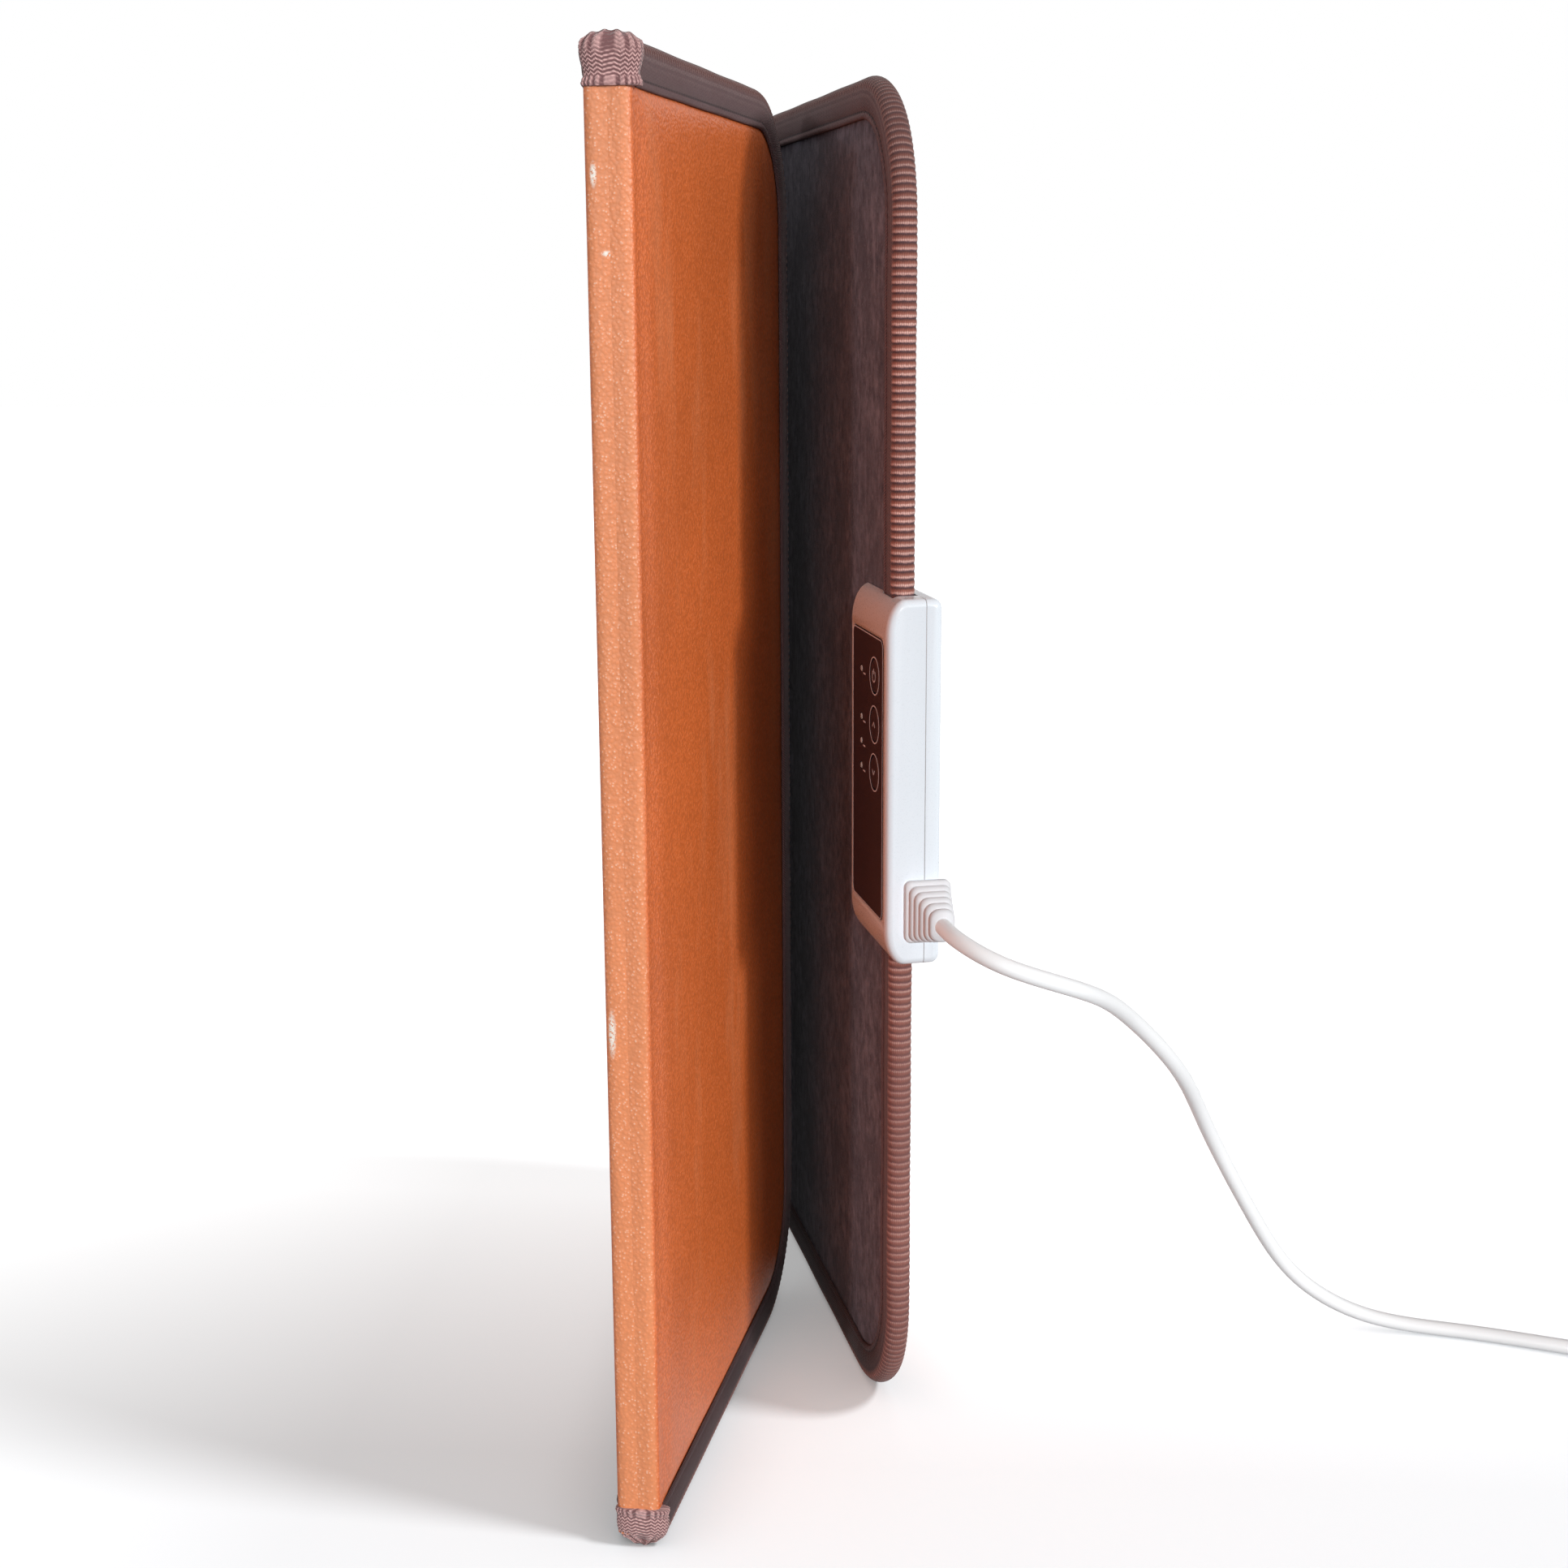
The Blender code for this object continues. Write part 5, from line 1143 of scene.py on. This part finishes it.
def spine_cap(name, place, direction, width, top_end, body, node, seed):
    """A gathered cap. Rows run from the flared skirt up to the crown; columns go round it."""
    given = np.arange(len(CAP_PROFILE))
    fine = np.linspace(0, given[-1], CAP_ROWS)
    height, swell = (np.interp(fine, given, CAP_PROFILE[:, k]) for k in (0, 1 if top_end else 2))
    if not top_end:
        height = height * (TAPE - 0.1 * MM) / height[-1]
    half_s = width / 2 + 1.5 * MM + np.maximum(swell, -width / 2 - 1.4 * MM)
    half_y = np.maximum(2.6 * MM + swell * 0.7, 0.02 * MM)
    angle = np.linspace(0, 2 * math.pi, CAP_COLUMNS + 1)
    c, s, power = np.cos(angle), np.sin(angle), 2 / 3.2
    unit_s, unit_y = np.sign(c) * np.abs(c) ** power, np.sign(s) * np.abs(s) ** power
    rng = np.random.default_rng(seed)
    tuck = sum(rng.uniform(0.5, 1) * np.cos(k * angle + rng.uniform(0, 6.28)) for k in (5, 8, 13))
    tall = (height / height[-1])[:, None]
    way_round = angle / (2 * math.pi) * (2 * (width + 8 * MM))
    head, skirt = (np.cos(2 * math.pi * way_round / length) for length in (HEAD_GATHER, SKIRT_GATHER))
    gather = tuck * (0.05 * MM + 0.16 * MM * ease(tall, 0.60, 0.95))
    gather = gather + head * 0.26 * MM * (ease(tall, 0.55, 0.85) * (1 - ease(tall, 0.9, 1.0)))
    gather = gather + skirt * 0.16 * MM * (1 - ease(tall, 0.12, 0.24))
    zig = ZIG * (1 - np.abs((way_round / ZIG) % 2 - 1))
    weave = np.sin(2 * math.pi * (height[:, None] + 0.8 * zig) / ROW) * 0.08 * MM
    flat = gather + weave * ease(tall, 0.0, 0.05) * (1 - ease(tall, 0.86, 0.97))
    x = unit_s * (half_s[:, None] + flat)
    y = unit_y * (half_y[:, None] + flat) - 1.25 * MM
    bumps = 0.30 * np.cos(2 * math.pi * x / (3.9 * MM) + seed) - 0.012 * (x / MM + 1.0) ** 2
    lift = height[:, None] + bumps * MM * ease(tall, 0.6, 1.0) * ease(tall, 0.5, 1.0)
    z = HEIGHT - TAPE + lift if top_end else np.maximum(TAPE - lift, 0.05 * MM)
    grid = stack(direction * (width / 2 + x + CAP_LEAN), y, z)
    ends = [np.broadcast_to(row.mean(1, keepdims=True), row.shape) for row in (grid[:1], grid[-1:])]
    grid = np.concatenate([ends[0], grid, ends[1]])
    uv = stack(way_round, np.concatenate([[0], height, [height[-1]]])[:, None])
    made = grid_piece(name, in_row(place, grid), uv, closed=True, smooth=70.0)
    dress(made, "gathered_tape", body, (node,))


SPINES = (("left", SPINE_L, -1, LEFT_SPINE), ("right", SPINE_R, 1, RIGHT_SPINE))
for side, place, direction, width in SPINES:
    for end, top_end, seed in (("top", True, 3), ("bottom", False, 5)):
        name, node = f"{side}_cap_{end}", f"{side}_spine_cap_{end}"
        spine_cap(name, place, direction, width, top_end, f"{side}_spine", node, seed)

# %% [markdown]
# Inside each fold the felt dips into the corner between panel and spine. Four narrow webs
# follow that dip.

# %% Spine felt and webs
WEB = np.array([
    (7.6, 6.05), (6.9, 5.9), (6.3, 5.3), (5.9, 4.5), (5.3, 3.9), (4.5, 3.6), (3.8, 3.75), (3.2, 4.3),
    (2.9, 5.2), (2.8, 6.3),
]) * MM
WEB_PANEL, WEB_SPINE = (6.3 * MM, 4 * MM), (3.2 * MM, 4 * MM)  # two points near the fold, each as (along the panel, along the spine)


def felt_web(name, place, into_panel, into_spine):
    """A felt strip in a fold's corner: a smooth line in plan, (along the panel, along the spine)."""
    fold, d, s = place[0][:2], into_panel[:2], into_spine[:2]
    section = resampled(smooth_route(WEB), 0.45 * MM)
    plan = fold + section[:, :1] * d + section[:, 1:] * s
    z = even_points(TAPE * 0.5, HEIGHT - TAPE * 0.5, 6 * MM)[:, None]
    grid, uv = stack(plan[:, 0], plan[:, 1], z), stack(length_along(section), z)
    made = sheet_piece(name, grid, WEB_WALL, (*(d + s), 0), uv, smooth=70.0)
    dress(made, "grey_felt", None)
    start, end = (fold + d * along + s * out for along, out in (WEB_PANEL, WEB_SPINE))
    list(start)
    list(end)
    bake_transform(made)


felt_web("left_wing_felt_web", WING_L, -WING_L[1][0], SPINE_L[1][0])
felt_web("left_back_felt_web", SPINE_L, BACK[1][0], -SPINE_L[1][0])
felt_web("right_back_felt_web", SPINE_R, -BACK[1][0], SPINE_R[1][0])
felt_web("right_wing_felt_web", WING_R, WING_R[1][0], -SPINE_R[1][0])


def spine_felt(side, place, direction, width):
    """The felt inside a spine: a flat strip with a faint hollow along its middle."""
    columns = even_points(4.0 * MM, width - 4.0 * MM, 1.0 * MM)
    z, a = np.meshgrid(even_points(8 * MM, HEIGHT - 8 * MM, 5 * MM), columns, indexing="ij")
    depth = -2.8 * MM + 0.25 * MM * np.exp(-(((a - width / 2) / (2 * MM)) ** 2))
    grid = in_row(place, stack(direction * a, depth, z))
    made = sheet_piece(f"{side}_spine_lining", grid, FELT_WALL, -place[1][1], stack(a, z))
    dress(made, "grey_felt", f"{side}_spine", (f"{side}_spine_felt",))


for spine_place in SPINES:
    spine_felt(*spine_place)

# %% [markdown]
# The controller's solids have the right shape already. A copy of each with its points merged
# takes smooth shading on its rounds, while sharp edges stay sharp.

# %% Controller shells and small parts
LARGE_FACE = 30 * MM * MM  # in square metres


def smooth_copy(node, name, finish, body="right_wing"):
    """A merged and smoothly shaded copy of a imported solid. Its flat faces are joined up again and
    get a narrow rim, so that a rounded edge's shading doesn't spread over the whole face."""
    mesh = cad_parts[node].data.copy()
    mesh.name = name
    work = bmesh.new()
    work.from_mesh(mesh)
    bmesh.ops.remove_doubles(work, verts=work.verts, dist=POINT_GAP)
    bmesh.ops.dissolve_limit(work, angle_limit=math.radians(0.3), verts=work.verts, edges=work.edges)
    flat = [face for face in work.faces if face.calc_area() > LARGE_FACE]
    bmesh.ops.inset_region(work, faces=flat, thickness=0.2 * MM, depth=0.0, use_even_offset=False)
    work.to_mesh(mesh)
    work.free()
    mesh.shade_smooth()
    mesh.set_sharp_from_angle(angle=math.radians(32.0))
    made = bpy.data.objects.new(name, mesh)
    bpy.context.scene.collection.objects.link(made)
    return dress(made, finish, body, (node,))


front_housing = smooth_copy("controller_front_shell", "front_housing", "white_plastic")
back_housing = smooth_copy("controller_back_shell", "back_housing", "white_plastic")
smooth_copy("control_overlay", "printed_overlay", "maroon_film")

CASE_HALF, CASE_MIDDLE = (27.0 * MM, 66.0 * MM), (-16.0 * MM, 255.0 * MM)  # in its frame's X and Z
# the lip between the two shells: a thin closed ring, each corner with its inset and its depth.
# Its grey is painted shade, standing for the shaded gap of the parting line.
inset = np.array([0.18, 0.18, 1.4, 1.4, 0.18]) * MM
deep = np.array([7.76, 8.04, 8.04, 7.76, 7.76])[:, None] * MM
ring = rounded_loop(CASE_HALF[0] - inset, CASE_HALF[1] - inset, np.full(5, 2.3 * MM), 5)
lip = stack(ring[..., 0] + CASE_MIDDLE[0], deep, ring[..., 1] + CASE_MIDDLE[1])
parting_shade_lip = grid_piece("parting_lip", in_row(CASE, lip), closed=True, smooth=30.0)
dress(parting_shade_lip, "parting_shade_grey", "right_wing")
for name in ("power_button", "up_button", "down_button"):
    smooth_copy(name, f"{name}_cap", "maroon_film", name)
smooth_copy("indicator_lenses", "lens_pins", "frosted_lens")
for k in range(1, 5):
    smooth_copy(f"case_screw_{k}", f"housing_screw_{k}", "zinc_steel")

# %% [markdown]
# The print on the overlay is thin, flat ink: a ring round each button, and a plain symbol on
# each. Each mark is a ribbon, a centre line given a width, and is laid just proud of the
# surface that carries it.

# %% Printed marks
BUTTONS = {"power_button": 291.9 * MM, "up_button": 274.3 * MM, "down_button": 256.8 * MM}
BUTTON_X, RING_RADIUS = -6.0 * MM, 6.75 * MM
INK, FINE_LINE, BOLD_LINE = 0.04 * MM, 0.42 * MM, 0.45 * MM


def ribbon(name, centre, line, width, y, body, closed=False):
    """A flat mark in the controller's X and Z, from a centre line and a width."""
    line = np.asarray(line, float)
    ahead = np.gradient(line, axis=0)
    if closed:
        ahead[0] = ahead[-1] = line[1] - line[-2]
    ahead = ahead / np.linalg.norm(ahead, axis=1)[:, None]
    side = np.stack([-ahead[:, 1], ahead[:, 0]], -1) * width / 2
    flat = np.stack([line - side, line + side]) + np.asarray(centre)
    grid = in_row(CASE, stack(flat[..., 0], y, flat[..., 1]))
    dress(sheet_piece(name, grid, INK, -CASE[1][1], smooth=35.0), "white_print", body)


def arc_line(radius, first, last, count=40):
    """Points on a circle between two angles in degrees: radius times their cosine and sine."""
    angle = np.radians(np.linspace(first, last, count))
    return np.stack([radius * np.cos(angle), radius * np.sin(angle)], -1)


OVERLAY_FACE, CAP_FACE = -6.55 * MM, -6.75 * MM
for name, z in BUTTONS.items():
    ring = arc_line(RING_RADIUS, 0, 360, 73)
    ribbon(f"{name}_ring", (BUTTON_X, z), ring, FINE_LINE, OVERLAY_FACE, "right_wing", True)
arrow = np.array([(-1.7, -0.9), (-0.85, 0.0), (0.0, 0.9), (0.85, 0.0), (1.7, -0.9)]) * MM
for name, button, line, width in (
    ("power_mark_arc", "power_button", arc_line(2.1 * MM, 125, 415), BOLD_LINE),
    ("power_mark_bar", "power_button", [(0, 0.7 * MM), (0, 2.7 * MM)], BOLD_LINE),
    ("up_mark", "up_button", arrow, FINE_LINE),
    ("down_mark", "down_button", arrow * [1, -1], FINE_LINE),
):
    ribbon(name, (BUTTON_X, BUTTONS[button]), line, width, CAP_FACE, button)
for k, z in enumerate((291.7, 274.0, 265.0, 255.7)):
    bar, at = [(-1.5 * MM, 0), (1.5 * MM, 0)], (-20.6 * MM, (z - 1.3) * MM)
    ribbon(f"light_bar_mark_{k + 1}", at, bar, 0.55 * MM, OVERLAY_FACE, "right_wing")
border = rounded_loop([22.0 * MM - 0.3 * MM], [50.8 * MM - 0.3 * MM], [2.8 * MM], 8)[0]
ribbon("overlay_border", (-16.0 * MM, 255.4 * MM), border, 0.35 * MM, OVERLAY_FACE, "right_wing", True)

# %% [markdown]
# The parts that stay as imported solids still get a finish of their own: they are inside the
# panels and the controller, and they show if the heater is ever taken apart.

# %% Finishes of the inner parts
INNER = {
    "heating_film": "film_black", "spine_lead": "film_black", "foam_pad": "foam_white",
    "core_board": "board_grey", "overheat_cutout": "black_plastic", "temperature_sensor": "black_plastic",
    "power_triac": "black_plastic", "supply_capacitor": "black_plastic", "film_lead_pair": "black_plastic",
    "circuit_board": "solder_mask", "plug_blade": "bright_brass",
}
for name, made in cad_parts.items():
    for ending, finish in INNER.items():
        if ending in name:
            for held in made.material_slots:
                held.material = finishes[finish]
print(len(INNER), "kinds of inner part have their own finish")

# %% [markdown]
# The heater stands on a white sweep. The floor is a plain pale surface that keeps the
# shadow, and a little of its own light is added for camera rays, so that it comes out white
# in the picture and yet throws no more light on the object. As on a lit sweep, that light
# grows towards the back and the side, so the shadow fades there. The world is white to the
# camera and to reflections, and a soft grey as a lamp.

# %% Floor and surroundings
floor_size = 8.0
corners = np.array([(-1, -1, 0), (1, -1, 0), (-1, 1, 0), (1, 1, 0)], float) * floor_size
floor = mesh_from("studio_floor", corners, np.array([[0, 1, 3, 2]]), facing=(0, 0, 1))
floor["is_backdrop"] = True


def seen_directly(nodes):
    """1 for camera rays and for what mirrors and glass show, 0 for light on its way to a surface."""
    path = nodes.add("LightPath").outputs
    direct = nodes.math("MAXIMUM", path["Is Camera Ray"], path["Is Glossy Ray"])
    return nodes.math("MAXIMUM", direct, path["Is Transmission Ray"])


sweep = Finish("white_sweep", (226, 226, 228), 0.9, Specular_IOR_Level=0.0)
direct = seen_directly(sweep)
x, y = (sweep.axis(sweep.object_place(), k) for k in (0, 1))
own_light = sweep.plus(sweep.fade(x, -0.10, 0.14, 0.42, 0.74), sweep.fade(y, 0.12, 0.32, 0.0, 0.20))
# near the heater and between the wings, an ambient occlusion node dims the floor's own light: painted contact
# shade
open_sky = sweep.add("AmbientOcclusion", {"samples": 8}, Distance=0.05).outputs["AO"]
own_light = sweep.times(own_light, sweep.fade(open_sky, 0.0, 0.9, 0.25, 1.0))
sweep.set(
    Base_Color=sweep.blend(direct, (112, 114, 117), (212, 215, 218)), Emission_Color=(1, 1, 1, 1),
    Emission_Strength=sweep.times(direct, own_light),
)
floor.data.materials.append(finishes["white_sweep"])

world = bpy.data.worlds.new("studio")
bpy.context.scene.world = world
world.use_nodes = True
around, background = Nodes(world.node_tree), world.node_tree.nodes["Background"]
background.inputs["Color"].default_value = (1, 1, 1, 1)
around.join(around.fade(seen_directly(around), 0.0, 1.0, 0.30, 1.0), background.inputs["Strength"])

# %% [markdown]
# Distant lamps light it, and each is a sun with some width, which is how a softbox looks from
# far away. Two keys stand to the right and in front, a narrow one and a wide one, so that the
# shadow on the leather darkens step by step. One fill is beside the camera, and a weak one to
# its left grazes the felt. A top light is for the floor alone, through light linking: it lays
# the broad soft shadow to the left, and leaves the heater's own light as it is. Light linking
# also keeps the cord from throwing a thin shadow across the leather, and a low wide fill for
# the cord alone keeps its underside pale.

# %% Lamps


def linked(name, pieces, state):
    """A collection for light linking, with one state for all its pieces."""
    made = bpy.data.collections.new(name)
    for k, piece in enumerate(pieces):
        made.objects.link(piece)
        made.collection_objects[k].light_linking.link_state = state
    return made


NO_HARD_SHADOW = linked("no_hard_shadow", [mains_cord, sleeve, plug, tie], "EXCLUDE")
FLOOR_ONLY, NOT_FLOOR = linked("floor_only", [floor], "INCLUDE"), linked("not_floor", [floor], "EXCLUDE")
CLOTH_ONLY = linked("not_floor_nor_housing", [floor, front_housing, back_housing, sleeve], "EXCLUDE")
CORD_ONLY = linked("cord_only", [mains_cord], "INCLUDE")


def distant_lamp(name, stands, height, irradiance, spread, receivers):
    """A sun in a plan direction and at a height in degrees. An irradiance of 1 shows white as white."""
    data = bpy.data.lights.new(name, "SUN")
    data.energy = irradiance * math.pi
    data.angle = math.radians(spread)
    made = bpy.data.objects.new(name, data)
    bpy.context.scene.collection.objects.link(made)
    level = Vector((*stands, 0.0)).normalized() * math.cos(math.radians(height))
    towards = level + Vector((0, 0, math.sin(math.radians(height))))
    made.rotation_euler = towards.to_track_quat("Z", "Y").to_euler()
    made.light_linking.receiver_collection = receivers
    made.light_linking.blocker_collection = NO_HARD_SHADOW
    print(f"lamp {name}: {height} degrees up, irradiance {irradiance}")


distant_lamp("key", (-0.60, -0.80), 12.0, 0.40, 9.0, NOT_FLOOR)
distant_lamp("wide_key", (-0.73, -0.68), 12.0, 0.22, 18.0, NOT_FLOOR)
distant_lamp("fill", (-0.985, -0.17), 16.0, 0.18, 8.0, NOT_FLOOR)
distant_lamp("side_fill", (-0.93, 0.37), 8.0, 0.16, 3.0, CLOTH_ONLY)
distant_lamp("floor_light", (-0.22, -0.975), 50.0, 0.66, 11.0, FLOOR_ONLY)
distant_lamp("cord_fill", (-0.97, 0.24), 3.0, 0.16, 30.0, CORD_ONLY)

# %% [markdown]
# The standard view shows each colour as it is written above. Last, the box of all that is seen
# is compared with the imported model's box, so that nothing new reaches far past the solids.

# %% View and size
bpy.context.scene.view_settings.view_transform = "Standard"
look_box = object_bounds()
for axis in range(3):
    low, high = (look_box[0][axis] - cad_box[0][axis]) * 1000, (look_box[1][axis] - cad_box[1][axis]) * 1000
    print(f"{'XYZ'[axis]}: visual model {low:+.1f} mm at its low end, {high:+.1f} mm at its high end")
